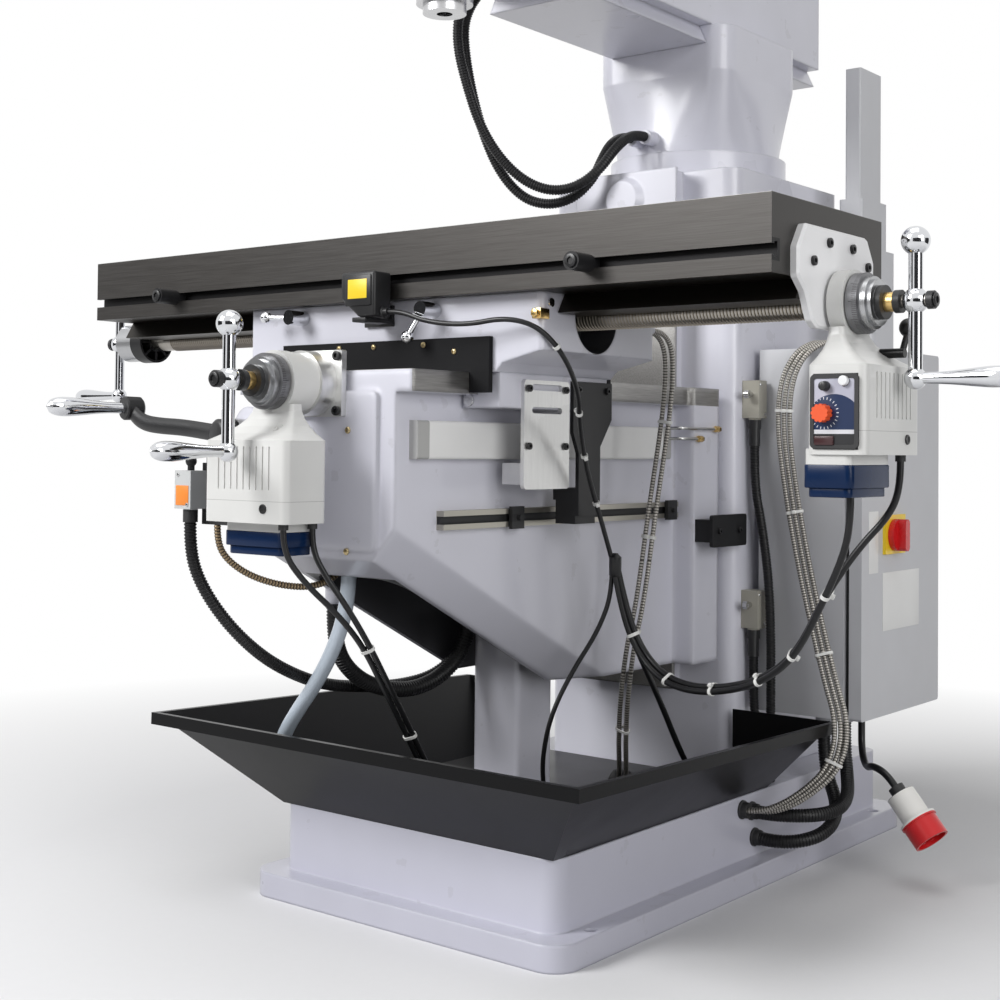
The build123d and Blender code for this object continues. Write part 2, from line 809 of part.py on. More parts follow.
# Cross travel limit switch with its roller lever, on a bracket behind the read head
cross_plate_top = knee_way_height - 6.0
cross_switch = (62.0, 112.0)
cross_switch_low = knee_way_height - 212.0
cross_switch_inner = 170.0
cross_roller = (163.0, 75.0)
with BuildPart() as y_limit_switch:
    with BuildSketch(Plane.YZ.offset(saddle_foot)):
        outline(
            (cross_switch[0] - 14, cross_plate_top),
            (cross_switch[1] + 33, cross_plate_top),
            (cross_switch[1] + 33, cross_plate_top - 54),
            (cross_switch[1] + 4, cross_plate_top - 94),
            (cross_switch[1] + 4, cross_switch_low + 12),
            (cross_switch[0], cross_switch_low + 12),
            (cross_switch[0], cross_plate_top - 104),
            (cross_switch[0] - 14, cross_plate_top - 74),
        )
    extrude(amount=side_plate)
    block((cross_switch_inner, saddle_foot), cross_switch, (cross_switch_low, cross_switch_low + 52))
    rod((*cross_roller, cross_switch_low + 52), (*cross_roller, cross_switch_low + 34), 6)
    rod(
        (cross_switch_inner, cross_roller[1], cross_switch_low + 40),
        (*cross_roller, cross_switch_low + 40),
        5,
    )

# Table: T slots between end troughs, a stop slot in the front edge and a dovetail below
slot_half = table_half - trough_rim - trough_width
tee_depth = tee_neck_depth + tee_head_depth
stop_slot_height = table_top - stop_slot_drop
with BuildPart() as table:
    with BuildSketch(Plane.YZ.offset(-table_half)):
        outline(
            (table_front, table_top),
            (-table_front, table_top),
            (-table_front, table_bottom),
            (dovetail_neck, table_bottom),
            (dovetail_root, dovetail_low),
            (-dovetail_root, dovetail_low),
            (-dovetail_neck, table_bottom),
            (table_front, table_bottom),
        )
        with Locations((0, screw_height)):
            Circle(screw_radius + 6, mode=Mode.SUBTRACT)
        neck_depth = stop_slot_depth / 2
        with Locations((table_front + neck_depth / 2, stop_slot_height)):
            Rectangle(neck_depth, stop_slot_neck, mode=Mode.SUBTRACT)
        with Locations((table_front + 1.5 * neck_depth, stop_slot_height)):
            Rectangle(neck_depth, stop_slot_head, mode=Mode.SUBTRACT)
    extrude(amount=table_length)
    with BuildSketch(Plane.YZ.offset(-slot_half - trough_width / 2)):
        with Locations((0, table_top)):
            with GridLocations(tee_spacing, 1, 3, 1):
                Rectangle(tee_neck, 2 * tee_depth)
                with Locations((0, tee_head_depth / 2 - tee_depth)):
                    Rectangle(tee_head, tee_head_depth)
    extrude(amount=2 * slot_half + trough_width, mode=Mode.SUBTRACT)
    with BuildSketch(Plane.XY.offset(table_top)):
        with GridLocations(2 * (slot_half + trough_width / 2), 1, 2, 1):
            RectangleRounded(trough_width, table_width - 2 * trough_rim, 12)
    extrude(amount=-tee_depth, mode=Mode.SUBTRACT)

# Travel stops clamped in the table's front slot
stop_places = (-434.0, 373.0)
stop_radius = 12.0
stop_length = 36.0
with BuildPart() as table_stops:
    for place in stop_places:
        rod((place, table_front, stop_slot_height), (place, table_front - stop_length, stop_slot_height), stop_radius)
        block(
            (place - 10, place + 10),
            (table_front, table_front + neck_depth),
            (stop_slot_height - stop_slot_neck / 2 + way_gap, stop_slot_height + stop_slot_neck / 2 - way_gap),
        )
        block(
            (place - 10, place + 10),
            (table_front + neck_depth + way_gap, table_front + 2 * neck_depth - way_gap),
            (stop_slot_height - stop_slot_head / 2 + way_gap, stop_slot_height + stop_slot_head / 2 - way_gap),
        )

# End brackets that carry the table screw
bracket_thickness = 11.0
cup_start = 30.0
cup_radius = 36.0
cup_wall = 4.0
left_hub_length = 59.0
spoke_count = 8
with BuildPart() as x_left_bracket:
    with BuildSketch(left_axis):
        with Locations((0, 58)):
            RectangleRounded(120, 76, 10)
    extrude(amount=12)
    with BuildSketch(left_axis):
        with Locations((0, 34)):
            Rectangle(60, 28)
    extrude(amount=cup_start + cup_wall)
    with BuildSketch(left_axis.offset(cup_start)):
        Circle(cup_radius)
    extrude(amount=left_hub_length - cup_start)
    with BuildSketch(left_axis.offset(cup_start)):
        Circle(cup_radius - cup_wall)
        Circle(journal_radius + cup_wall, mode=Mode.SUBTRACT)
        with PolarLocations(cup_radius / 2, spoke_count):
            Rectangle(cup_radius, cup_wall, mode=Mode.SUBTRACT)
    extrude(amount=left_hub_length - cup_start - cup_wall, mode=Mode.SUBTRACT)
    with BuildSketch(left_axis):
        Circle(journal_radius + journal_gap)
    extrude(amount=left_hub_length, mode=Mode.SUBTRACT)

hub_front = feed_x + 8 - table_half
with BuildPart() as x_feed_bracket:
    bracket_plane = Plane(origin=(table_half, 0, screw_height), x_dir=(0, 1, 0), z_dir=(1, 0, 0))
    with BuildSketch(bracket_plane) as shield:
        outline(
            (-84, 92), (84, 92), (104, 62), (104, 27), (84, 10), (66, -24),
            (52, -32), (-52, -32), (-66, -24), (-84, 10), (-104, 27), (-104, 62),
        )
        fillet(shield.vertices(), 8)
    extrude(amount=bracket_thickness)
    chamfer(x_feed_bracket.faces().sort_by(Axis.X)[-1].edges(), 3)
    with BuildSketch(bracket_plane.offset(bracket_thickness)):
        Circle(30)
    extrude(amount=hub_front - bracket_thickness)
    with BuildSketch(bracket_plane):
        Circle(journal_radius + journal_gap)
    extrude(amount=hub_front, mode=Mode.SUBTRACT)

# Cross screw bracket on the knee's front, with a round spigot for the feed unit
disc_front = feed_y + 21
with BuildPart() as y_feed_bracket:
    with BuildSketch(front_plane(knee_front - knee_pad_depth)):
        with Locations((0, cross_screw_height)):
            RectangleRounded(104, 90, 3)
    extrude(amount=knee_front - knee_pad_depth - bracket_front + 2)
    with BuildSketch(front_plane(bracket_front - 2)):
        with Locations((0, cross_screw_height)):
            Circle(44)
    extrude(amount=bracket_front - 2 - disc_front)
    with BuildSketch(front_plane(knee_front)):
        with Locations((0, cross_screw_height)):
            Circle(journal_radius + journal_gap)
    extrude(amount=knee_front - disc_front, mode=Mode.SUBTRACT)


# Power feed units: the same moulding turns the table screw and the cross screw
panel_width = 62.0
panel_height = 88.0
panel_depth = 3.0
panel_place = (38.0, -134.0)
knob_place = (25.0, -136.0)
button_place = (51.0, -98.0)
button_radius = 6.0
button_well = 9.0
button_travel = 3.0
button_rise = 5.0
louvre_count = 9
louvre_pitch = 12.0
shoulder_steps = 5
shoulder_height = 48.0
neck_width = 76.0
neck_depth_w = 20.0
neck_middle = 18.0
lever_pivot = (34.0, -60.0)
lever_seat = 44.0
lever_pin = 6.0
gland_radius = 6.5
gland_length = 8.0
front_gland = (58.0, 60.0)
rear_gland = (58.0, 8.0)
cap_gland = (-6.0, 24.0)


def panel_side(plane):
    """Plane on a feed unit's panel side: local x runs outwards along the screw, local y up."""
    origin = plane.origin - plane.x_dir * feed_half_width
    return Plane(origin=origin, x_dir=plane.z_dir, z_dir=-plane.x_dir)


def feed_housing(plane, neck_back, glands):
    """Moulded gearbox of a feed unit: louvred box, sloping shoulder and a neck round the screw."""
    with BuildPart() as housing:
        with BuildSketch(level(plane, -feed_bottom)):
            with Locations((0, -feed_depth / 2)):
                RectangleRounded(2 * feed_half_width, feed_depth, 12)
        extrude(amount=feed_bottom - feed_top)
        with BuildSketch(level(plane, -feed_bottom - feed_band)):
            with Locations((feed_cap_shift, -feed_cap_depth / 2 - 1)):
                RectangleRounded(2 * feed_cap_half - 4, feed_cap_depth - 4, 10)
        extrude(amount=feed_band)
        for step in range(shoulder_steps + 1):
            rise = step / shoulder_steps
            spread = (1 - rise) ** 2
            with BuildSketch(level(plane, -feed_top + rise * shoulder_height)):
                with Locations((0, -neck_middle - spread * (feed_depth / 2 - neck_middle))):
                    RectangleRounded(
                        neck_width + spread * (2 * feed_half_width - neck_width),
                        neck_depth_w + spread * (feed_depth - neck_depth_w),
                        6 + 6 * spread,
                    )
        loft(ruled=True)
        with BuildSketch(plane.offset(8)):
            Circle(42)
        extrude(amount=feed_neck_front - 8)
        if neck_back < 8:
            with BuildSketch(plane.offset(neck_back)):
                Circle(40)
            extrude(amount=8 - neck_back)
        with BuildSketch(plane.offset(neck_back)):
            Circle(journal_radius + 1)
        extrude(amount=feed_depth - neck_back, mode=Mode.SUBTRACT)
        with BuildSketch(plane.offset(feed_depth)):
            with Locations((0, -feed_top - 36)):
                with GridLocations(louvre_pitch, 1, louvre_count, 1):
                    SlotOverall(56, 3, rotation=90)
        extrude(amount=-1.5, mode=Mode.SUBTRACT)
        side = panel_side(plane)
        with BuildSketch(side):
            with Locations(panel_place):
                RectangleRounded(panel_width, panel_height, 6)
        extrude(amount=panel_depth)
        with BuildSketch(side.offset(panel_depth)):
            with Locations(panel_place):
                RectangleRounded(panel_width - 10, panel_height - 10, 3)
        extrude(amount=-panel_depth / 2, mode=Mode.SUBTRACT)
        with BuildSketch(side.offset(panel_depth)):
            with Locations(button_place):
                Circle(button_radius + way_gap)
        extrude(amount=-button_well, mode=Mode.SUBTRACT)
        with BuildSketch(plane.offset(lever_seat)):
            with Locations(lever_pivot):
                Circle(lever_pin + journal_gap)
        extrude(amount=feed_depth - lever_seat, mode=Mode.SUBTRACT)
        for place in glands:
            with BuildSketch(level(plane, -feed_bottom)):
                with Locations((place[0], -place[1])):
                    Circle(gland_radius)
            extrude(amount=-gland_length)
    return housing


def feed_cap(plane, glands):
    """Motor cap below a feed unit, with a stepped foot."""
    foot = 10
    top = -feed_bottom - feed_band
    with BuildPart() as cap:
        with BuildSketch(level(plane, top)):
            with Locations((feed_cap_shift, -feed_cap_depth / 2 - 1)):
                RectangleRounded(2 * feed_cap_half, feed_cap_depth, 12)
        extrude(amount=-feed_cap_height + foot)
        with BuildSketch(level(plane, top - feed_cap_height + foot)):
            with Locations((feed_cap_shift, -feed_cap_depth / 2 - 1)):
                RectangleRounded(2 * feed_cap_half - 10, feed_cap_depth - 10, 10)
        extrude(amount=-foot)
        for place in glands:
            with BuildSketch(level(plane, top - feed_cap_height)):
                with Locations((place[0], -place[1])):
                    Circle(gland_radius)
            extrude(amount=-gland_length)
    return cap


def ball_crank(plane, reach):
    """Two-ball crank on a screw end: hub ball, counter ball and a ball with a turned handle."""
    hub = plane.from_local_coords((0, 0, reach))
    top = plane.from_local_coords((0, crank_counter, reach))
    low = plane.from_local_coords((0, -crank_throw, reach))
    bore_start = plane.from_local_coords((0, 0, reach - 30))
    bore_end = plane.from_local_coords((0, 0, reach + 30))
    with BuildPart() as crank:
        with Locations(hub):
            Sphere(hub_radius)
        with Locations(top):
            Sphere(ball_radius)
        with Locations(low):
            Sphere(handle_ball_radius)
        rod(low, top, arm_radius)
        grip(Plane(origin=low, x_dir=plane.x_dir, z_dir=plane.z_dir), 125, 7, 11.5)
        rod(bore_start, bore_end, crank_journal + journal_gap, mode=Mode.SUBTRACT)
    return crank


def clutch_end(plane):
    """Dial, clutch rings and crank journal at the outer end of a feed screw."""
    stepped_shaft(
        plane,
        [
            (dial_start, dial_start + dial_length / 2, dial_radius),
            (dial_start + dial_length / 2, dial_start + dial_length * 0.8, dial_radius - 5),
            (dial_start + dial_length * 0.8, dial_start + dial_length, dial_radius - 9),
            (dial_start + dial_length, clutch_start, clutch_radius),
            (clutch_start, clutch_end_at, collar_radius),
            (clutch_end_at, crank_hub - hub_radius - free_gap, collar_radius + 2),
            (crank_hub - hub_radius - free_gap, crank_hub + hub_radius, crank_journal),
            (crank_hub + hub_radius, crank_hub + hub_radius + 8, 11),
        ],
    )


x_feed_housing = feed_housing(table_axis, 8, [front_gland])
y_feed_housing = feed_housing(cross_axis, feed_y - disc_front, [front_gland, rear_gland])
x_feed_motor_cap = feed_cap(table_axis, [cap_gland])
y_feed_motor_cap = feed_cap(cross_axis, [])
x_ball_crank = ball_crank(table_axis, crank_hub)
y_ball_crank = ball_crank(cross_axis, crank_hub)
left_crank_reach = 133.0
x_left_crank = ball_crank(left_axis, left_crank_reach)

# Table screw with dials at both ends
thread_half = table_half - 14
with BuildPart() as x_lead_screw:
    rod((-thread_half - 20, 0, screw_height), (thread_half, 0, screw_height), screw_radius)
    rod((thread_half, 0, screw_height), (feed_x + dial_start, 0, screw_height), journal_radius)
    clutch_end(table_axis)
    stepped_shaft(
        left_axis,
        [
            (-40, left_hub_length + free_gap, journal_radius),
            (left_hub_length + free_gap, left_hub_length + 44, 33),
            (left_hub_length + 44, left_crank_reach - hub_radius - free_gap, 14),
            (left_crank_reach - hub_radius - free_gap, left_crank_reach + hub_radius, crank_journal),
            (left_crank_reach + hub_radius, left_crank_reach + hub_radius + 6, 11),
        ],
    )

# Cross screw
cross_screw_rear = knee_channel_rear - 12
with BuildPart() as y_lead_screw:
    rod((0, cross_screw_rear, cross_screw_height), (0, knee_front + 8, cross_screw_height), cross_screw_radius)
    rod((0, knee_front + 8, cross_screw_height), (0, feed_y - dial_start, cross_screw_height), journal_radius)
    clutch_end(cross_axis)

# Speed knob, rapid button and direction lever of the table's feed unit
table_panel = panel_side(table_axis)
with BuildPart() as x_speed_knob:
    with BuildSketch(table_panel.offset(panel_depth / 2 + 0.3)):
        with Locations(knob_place):
            Circle(11)
            with PolarLocations(11.5, 11):
                Circle(1.8, mode=Mode.SUBTRACT)
    extrude(amount=13)
with BuildPart() as x_rapid_button:
    with BuildSketch(table_panel.offset(panel_depth - button_well + button_travel + way_gap)):
        with Locations(button_place):
            Circle(button_radius)
    extrude(amount=button_well + button_rise - button_travel)
    fillet(x_rapid_button.edges().sort_by(Axis.Y)[0], 1.5)

lever_bend = table_axis.from_local_coords((*lever_pivot, lever_seat + 28))
lever_tip = table_axis.from_local_coords((50, -28, lever_seat + 30))
with BuildPart() as x_direction_lever:
    with BuildSketch(table_axis.offset(lever_seat + way_gap)):
        with Locations(lever_pivot):
            Circle(lever_pin)
    extrude(amount=32)
    rod(lever_bend, lever_tip, 4)
    with Locations(lever_tip):
        Sphere(12)

# Clamp levers that lock the table to the saddle
lock_hub_radius = 11.0
lock_hub_length = 34.0
lock_ball_radius = 9.0


def lock_lever(place, reach):
    """Small clamp lever: a pin in the saddle, a hub, a slim arm and a ball."""
    hub_plane = Plane(origin=(place, saddle_front, lock_height), x_dir=(1, 0, 0), z_dir=(0, -1, 0))
    arm_start = hub_plane.from_local_coords((0, 0, lock_hub_length - 8))
    ball = hub_plane.from_local_coords((*reach, lock_hub_length))
    with BuildPart() as lever:
        stepped_shaft(
            hub_plane,
            [(-18, free_gap, lock_pin), (free_gap, lock_hub_length, lock_hub_radius)],
        )
        rod(arm_start, ball, 4)
        with Locations(Plane(origin=ball, z_dir=ball - arm_start)):
            Sphere(lock_ball_radius)
    return lever


table_lock_left = lock_lever(lock_places[0], (-48, 2))
table_lock_right = lock_lever(lock_places[1], (-22, -38))

# Linear scale along the knee's right side
scale_depth = 15.0
scale_ends = (-222.0, 405.0)
scale_height = (knee_way_height - 119, knee_way_height - 67)
with BuildPart() as y_scale:
    block((knee_half_width, knee_half_width + scale_depth), scale_ends, scale_height)
    fillet(y_scale.edges().filter_by(Axis.Y).group_by(Axis.X)[-1], 4)
    block(
        (knee_half_width + 4, knee_half_width + 12),
        (scale_ends[0] + 24, scale_ends[1] - 24),
        (scale_height[0], scale_height[0] + 3),
        mode=Mode.SUBTRACT,
    )

# Stop rail below the scale with two clamped stops
rail_depth = 13.0
rail_ends = (-165.0, 432.0)
rail_height = (knee_way_height - 215, knee_way_height - 189)
rail_middle = (rail_height[0] + rail_height[1]) / 2
rail_stops = (-8.0, 405.0)
stop_stud_radius = 4.0
with BuildPart() as y_stop_rail:
    block((knee_half_width, knee_half_width + rail_depth), rail_ends, rail_height)
    block(
        (knee_half_width + rail_depth - 6, knee_half_width + rail_depth),
        rail_ends,
        (rail_middle - 5, rail_middle + 5),
        mode=Mode.SUBTRACT,
    )
    for place in rail_stops:
        block(
            (knee_half_width + rail_depth, knee_half_width + rail_depth + 6),
            (place - 14, place + 14),
            (rail_height[0] - 3, rail_height[1] + 3),
        )
        rod(
            (knee_half_width + rail_depth - 6, place, rail_middle),
            (knee_half_width + rail_depth + 12, place, rail_middle),
            stop_stud_radius,
        )

# Trip dog that works the knee's limit switches
switch_middle = column_half_width + 17
dog_height = (knee_way_height - 263, knee_way_height - 210)
dog_rear = column_front + 12
with BuildPart() as z_trip_dog:
    block((switch_middle - 6, switch_middle), (knee_flange_front + 2, dog_rear), dog_height)
    fillet(z_trip_dog.edges().filter_by(Axis.X), 5)
    block(
        (knee_flange_half, switch_middle - 6),
        (knee_flange_front + 6, knee_flange_rear - 10),
        (dog_height[0] + 8, dog_height[1] - 8),
    )

# Limit switches on the column's right side, with roller plungers facing the dog
z_switch_heights = (784.0, 427.0)
with BuildPart() as z_limit_switches:
    for height in z_switch_heights:
        block(
            (column_half_width, column_half_width + 32),
            (column_front + 25, column_front + 52),
            (height - 32, height + 32),
        )
        rod((switch_middle, column_front + 25, height + 8), (switch_middle, column_front + 12, height + 8), 5)
        rod((switch_middle - 4, column_front + 12, height + 8), (switch_middle + 4, column_front + 12, height + 8), 7)
        rod((switch_middle, column_front + 38, height - 32), (switch_middle, column_front + 38, height - 50), 11)
        rod((switch_middle, column_front + 38, height - 50), (switch_middle, column_front + 38, height - 80), 9.5)

# Crank interlock switch on a black plate at the knee's front left corner
plate_left = -216.0
plate_right = -112.0
plate_front = knee_front - 47
plate_heights = (knee_way_height - 215, knee_way_height - 128)
switch_body = (-214.0, -180.0)
switch_body_top = plate_heights[1] - 11
switch_body_low = plate_heights[0] + 22
plunger_x = -197.0
plunger_y = plate_front - 15
plunger_radius = 5.0
plunger_well = 13.0
plunger_travel = 4.0
with BuildPart() as crank_switch:
    block((plate_left + 26, plate_right), (plate_front, plate_front + 6), plate_heights)
    block((plate_right - 6, plate_right), (plate_front + 6, knee_front), plate_heights)
    block(switch_body, (plate_front - 30, plate_front), (switch_body_low, switch_body_top))
    rod((plunger_x, plunger_y, switch_body_low), (plunger_x, plunger_y, plate_heights[0] + 3), 10.5)
    with BuildSketch(Plane.XY.offset(switch_body_top)):
        with Locations((plunger_x, plunger_y)):
            Circle(plunger_radius + way_gap)
    extrude(amount=-plunger_well, mode=Mode.SUBTRACT)
with BuildPart() as crank_switch_plunger:
    with BuildSketch(Plane.XY.offset(switch_body_top - plunger_well + plunger_travel + free_gap)):
        with Locations((plunger_x, plunger_y)):
            Circle(plunger_radius)
    extrude(amount=plunger_well + 8)
    with Locations((plunger_x, plunger_y, switch_body_top + 13)):
        Sphere(8)

# Electrical cabinet, open to the right, on two standoff rails
door_front = cabinet_right + door_seam
hinge_x = door_front + door_depth / 2
hinge_y = cabinet_rear + 7
hinge_pin = 3.0
hinge_relief = 1.5
cabinet_glands = [
    ((cabinet_right - 22, cabinet_front + 50), 14),
    ((cabinet_right - 55, cabinet_front + 40), 14),
    ((cabinet_right - 17, cabinet_front + 105), 9),
]
hinge_knuckle = 6.0
main_switch = (cabinet_front + 115, cabinet_bottom + 303)
switch_stem = 6.0
hinge_height = 70.0
hinge_places = (cabinet_bottom + 110, cabinet_top - 110)
with BuildPart() as electrical_cabinet:
    block((cabinet_left, cabinet_right), (cabinet_front, cabinet_rear), (cabinet_bottom, cabinet_top))
    block(
        (cabinet_right, door_front - free_gap),
        (cabinet_front + 8, cabinet_rear - 8),
        (cabinet_bottom + 8, cabinet_top - 8),
    )
    block(
        (cabinet_left + cabinet_sheet, door_front),
        (cabinet_front + 8 + cabinet_sheet, cabinet_rear - 8 - cabinet_sheet),
        (cabinet_bottom + 8 + cabinet_sheet, cabinet_top - 8 - cabinet_sheet),
        mode=Mode.SUBTRACT,
    )
    for place in (cabinet_front + 60, cabinet_rear - 60):
        block(
            (column_half_width, cabinet_left),
            (place - 20, place + 20),
            (cabinet_bottom + 47, cabinet_top - 50),
        )
    for place, radius in cabinet_glands:
        rod((*place, cabinet_bottom), (*place, cabinet_bottom - 10), radius)
    for place in hinge_places:
        hinge_heights = (place - hinge_height / 2 - 14, place - hinge_height / 2 - way_gap)
        block((cabinet_right - 40, cabinet_right), (cabinet_rear, hinge_y + 3), hinge_heights)
        block((cabinet_right, hinge_x + 3), (cabinet_rear + hinge_relief, hinge_y + 3), hinge_heights)
        rod(
            (hinge_x, hinge_y, place - hinge_height / 2 - 10),
            (hinge_x, hinge_y, place + hinge_height / 2 - 4),
            hinge_pin,
        )

with BuildPart() as cabinet_door:
    block(
        (door_front, door_front + door_depth),
        (cabinet_front, cabinet_rear),
        (cabinet_bottom, cabinet_top),
    )
    fillet(cabinet_door.edges().filter_by(Axis.X), 6)
    block(
        (door_front, door_front + door_depth - cabinet_sheet),
        (cabinet_front + cabinet_sheet, cabinet_rear - cabinet_sheet),
        (cabinet_bottom + cabinet_sheet, cabinet_top - cabinet_sheet),
        mode=Mode.SUBTRACT,
    )
    for place in hinge_places:
        rod(
            (hinge_x, hinge_y, place - hinge_height / 2),
            (hinge_x, hinge_y, place + hinge_height / 2),
            hinge_knuckle,
        )
        block(
            (hinge_x - 2, hinge_x + 2),
            (cabinet_rear, hinge_y),
            (place - hinge_height / 2, place + hinge_height / 2),
        )
        rod(
            (hinge_x, hinge_y, place - hinge_height / 2),
            (hinge_x, hinge_y, place + hinge_height / 2 - 2),
            hinge_pin + journal_gap,
            mode=Mode.SUBTRACT,
        )
    block(
        (door_front + door_depth, door_front + door_depth + 6),
        (main_switch[0] - 35, main_switch[0] + 45),
        (main_switch[1] - 32, main_switch[1] + 34),
    )
    rod(
        (door_front + door_depth - cabinet_sheet, *main_switch),
        (door_front + door_depth + 6, *main_switch),
        switch_stem + journal_gap,
        mode=Mode.SUBTRACT,
    )

# Rotary main switch through the door
with BuildPart() as main_switch_knob:
    rod((door_front + door_depth - 8, *main_switch), (door_front + door_depth + 8, *main_switch), switch_stem)
    rod((door_front + door_depth + 6 + free_gap, *main_switch), (door_front + door_depth + 16, *main_switch), 27)
    with BuildSketch(Plane.YZ.offset(door_front + door_depth + 16)):
        with Locations(main_switch):
            RectangleRounded(17, 54, 8)
    extrude(amount=14)

# Square post on the cabinet that carries the readout's arm
post_foot = (cabinet_left + 84, cabinet_rear - 80)
post_place = (cabinet_left + 77, cabinet_rear - 75)
post_width = 105.0
post_foot_height = 187.0
post_sleeve = 93.0
post_height = 330.0
with BuildPart() as readout_post:
    with BuildSketch(Plane.XY.offset(cabinet_top)):
        with Locations(post_foot):
            RectangleRounded(75, post_width, 18)
    extrude(amount=post_foot_height)
    with BuildSketch(Plane.XY.offset(cabinet_top + post_foot_height)):
        with Locations(post_place):
            RectangleRounded(46, post_width, 6)
    extrude(amount=post_sleeve)
    with BuildSketch(Plane.XY.offset(cabinet_top + post_foot_height)):
        with Locations(post_place):
            RectangleRounded(30, post_width - 17, 4)
    extrude(amount=post_height)

# Turret: swivels on the column and carries the ram's dovetail
turret_bottom = column_top + way_gap
ram_bottom = turret_bottom + turret_height
ram_neck = ram_half_width - 25
ram_root = ram_half_width - 10
gland_y = turret_y - turret_radius - 12
gland_height = column_top + 76
with BuildPart() as turret:
    with BuildSketch(Plane.XY.offset(turret_bottom)):
        with Locations((0, turret_y)):
            Circle(turret_radius)
    extrude(amount=turret_flange)
    with BuildSketch(Plane.XY.offset(turret_bottom + turret_flange)):
        with Locations((0, turret_y)):
            Circle(turret_radius - 14)
    with BuildSketch(Plane.XY.offset(ram_bottom - 80)):
        with Locations((0, turret_y)):
            RectangleRounded(2 * ram_half_width + 60, 280, 40)
    loft()
    with BuildSketch(Plane.XY.offset(ram_bottom - 80)):
        with Locations((0, turret_y)):
            RectangleRounded(2 * ram_half_width + 60, 280, 40)
    extrude(amount=80)
    with BuildSketch(front_plane(turret_y + 140)):
        outline(
            (-ram_neck - way_gap, ram_bottom),
            (ram_neck + way_gap, ram_bottom),
            (ram_root + way_gap, ram_bottom - ram_dovetail - way_gap),
            (-ram_root - way_gap, ram_bottom - ram_dovetail - way_gap),
        )
    extrude(amount=280, mode=Mode.SUBTRACT)
    with BuildSketch(Plane.XY.offset(turret_bottom)):
        with Locations((0, turret_y)):
            Circle(turret_spigot)
    extrude(amount=-column_wall + 2)
    rod((-5, turret_y - 100, gland_height), (-5, gland_y, gland_height), 13)
    rod((-35, turret_y - 100, gland_height), (-35, gland_y, gland_height), 13)

# Ram: slides in the turret and carries the head on a round face
head_axis = ram_bottom + 88
head_face = ram_front - 22
with BuildPart() as ram:
    block((-ram_half_width, ram_half_width), (ram_front, ram_rear), (ram_bottom + way_gap, ram_bottom + ram_height))
    fillet(ram.edges().filter_by(Axis.Y).group_by(Axis.Z)[-1], 24)
    with BuildSketch(front_plane(ram_rear)):
        outline(
            (-ram_neck, ram_bottom + way_gap),
            (ram_neck, ram_bottom + way_gap),
            (ram_root, ram_bottom - ram_dovetail),
            (-ram_root, ram_bottom - ram_dovetail),
        )
    extrude(amount=ram_rear - ram_front - 120)
    block(
        (-ram_half_width + 30, ram_half_width - 30),
        (ram_front + 60, ram_rear),
        (ram_bottom + 30, ram_bottom + ram_height - 30),
        mode=Mode.SUBTRACT,
    )
    rod((0, ram_front, head_axis), (0, head_face, head_axis), head_half_width)
    rod((0, head_face, head_axis), (0, head_face - 20, head_axis), 30)
    rod((-ram_half_width, 300, ram_bottom + 60), (-ram_half_width - 22, 300, ram_bottom + 60), 13)
    rod((-ram_half_width, 330, ram_bottom + 60), (-ram_half_width - 22, 330, ram_bottom + 60), 13)

# Milling head: tilts on the ram and guides the quill
head_rear = head_face - way_gap
belt_box_height = 70.0
quill_top = head_bottom + 195
with BuildPart() as head_casting:
    with BuildSketch(Plane.XY.offset(head_bottom)):
        Circle(head_half_width)
        with Locations((0, head_rear / 2)):
            Rectangle(2 * head_half_width - 20, head_rear)
        with Locations((0, head_rear + head_half_width / 2)):
            Rectangle(2 * head_half_width, head_half_width, mode=Mode.SUBTRACT)
    extrude(amount=head_top - head_bottom)
    rod((0, head_rear, head_axis), (0, head_rear - 30, head_axis), head_half_width + 6)
    with BuildSketch(Plane.XY.offset(head_top)):
        SlotCenterToCenter(90, 2 * head_half_width + 20, rotation=90)
        with Locations((0, 45)):
            SlotCenterToCenter(90, 2 * head_half_width + 20, rotation=90)
    extrude(amount=belt_box_height)
    with BuildSketch(Plane.XY.offset(head_bottom)):
        Circle(quill_radius + journal_gap)
    extrude(amount=head_top - head_bottom - 20, mode=Mode.SUBTRACT)
    rod((0, head_rear, head_axis), (0, head_rear - 21, head_axis), 30 + journal_gap, mode=Mode.SUBTRACT)
    rod(
        (head_half_width - 30, -20, head_bottom + 60),
        (head_half_width + 10, -20, head_bottom + 60),
        24,
    )
    rod(
        (head_half_width - 30, -20, head_bottom + 60),
        (head_half_width + 10, -20, head_bottom + 60),
        12 + journal_gap,
        mode=Mode.SUBTRACT,
    )

# Motor on the rear of the belt housing
motor_y = 75.0
motor_bottom = head_top + belt_box_height
fin_count = 18
with BuildPart() as head_motor:
    with BuildSketch(Plane.XY.offset(motor_bottom)):
        with Locations((0, motor_y)):
            Circle(motor_radius)
    extrude(amount=24)
    with BuildSketch(Plane.XY.offset(motor_bottom + 24)):
        with Locations((0, motor_y)):
            Circle(motor_radius - 14)
            with PolarLocations(motor_radius - 14, fin_count):
                Rectangle(22, 4)
    extrude(amount=motor_height - 80)
    with BuildSketch(Plane.XY.offset(motor_bottom + motor_height - 56)):
        with Locations((0, motor_y)):
            Circle(motor_radius)
    extrude(amount=56)
    fillet(head_motor.edges().sort_by(Axis.Z)[-1], 14)

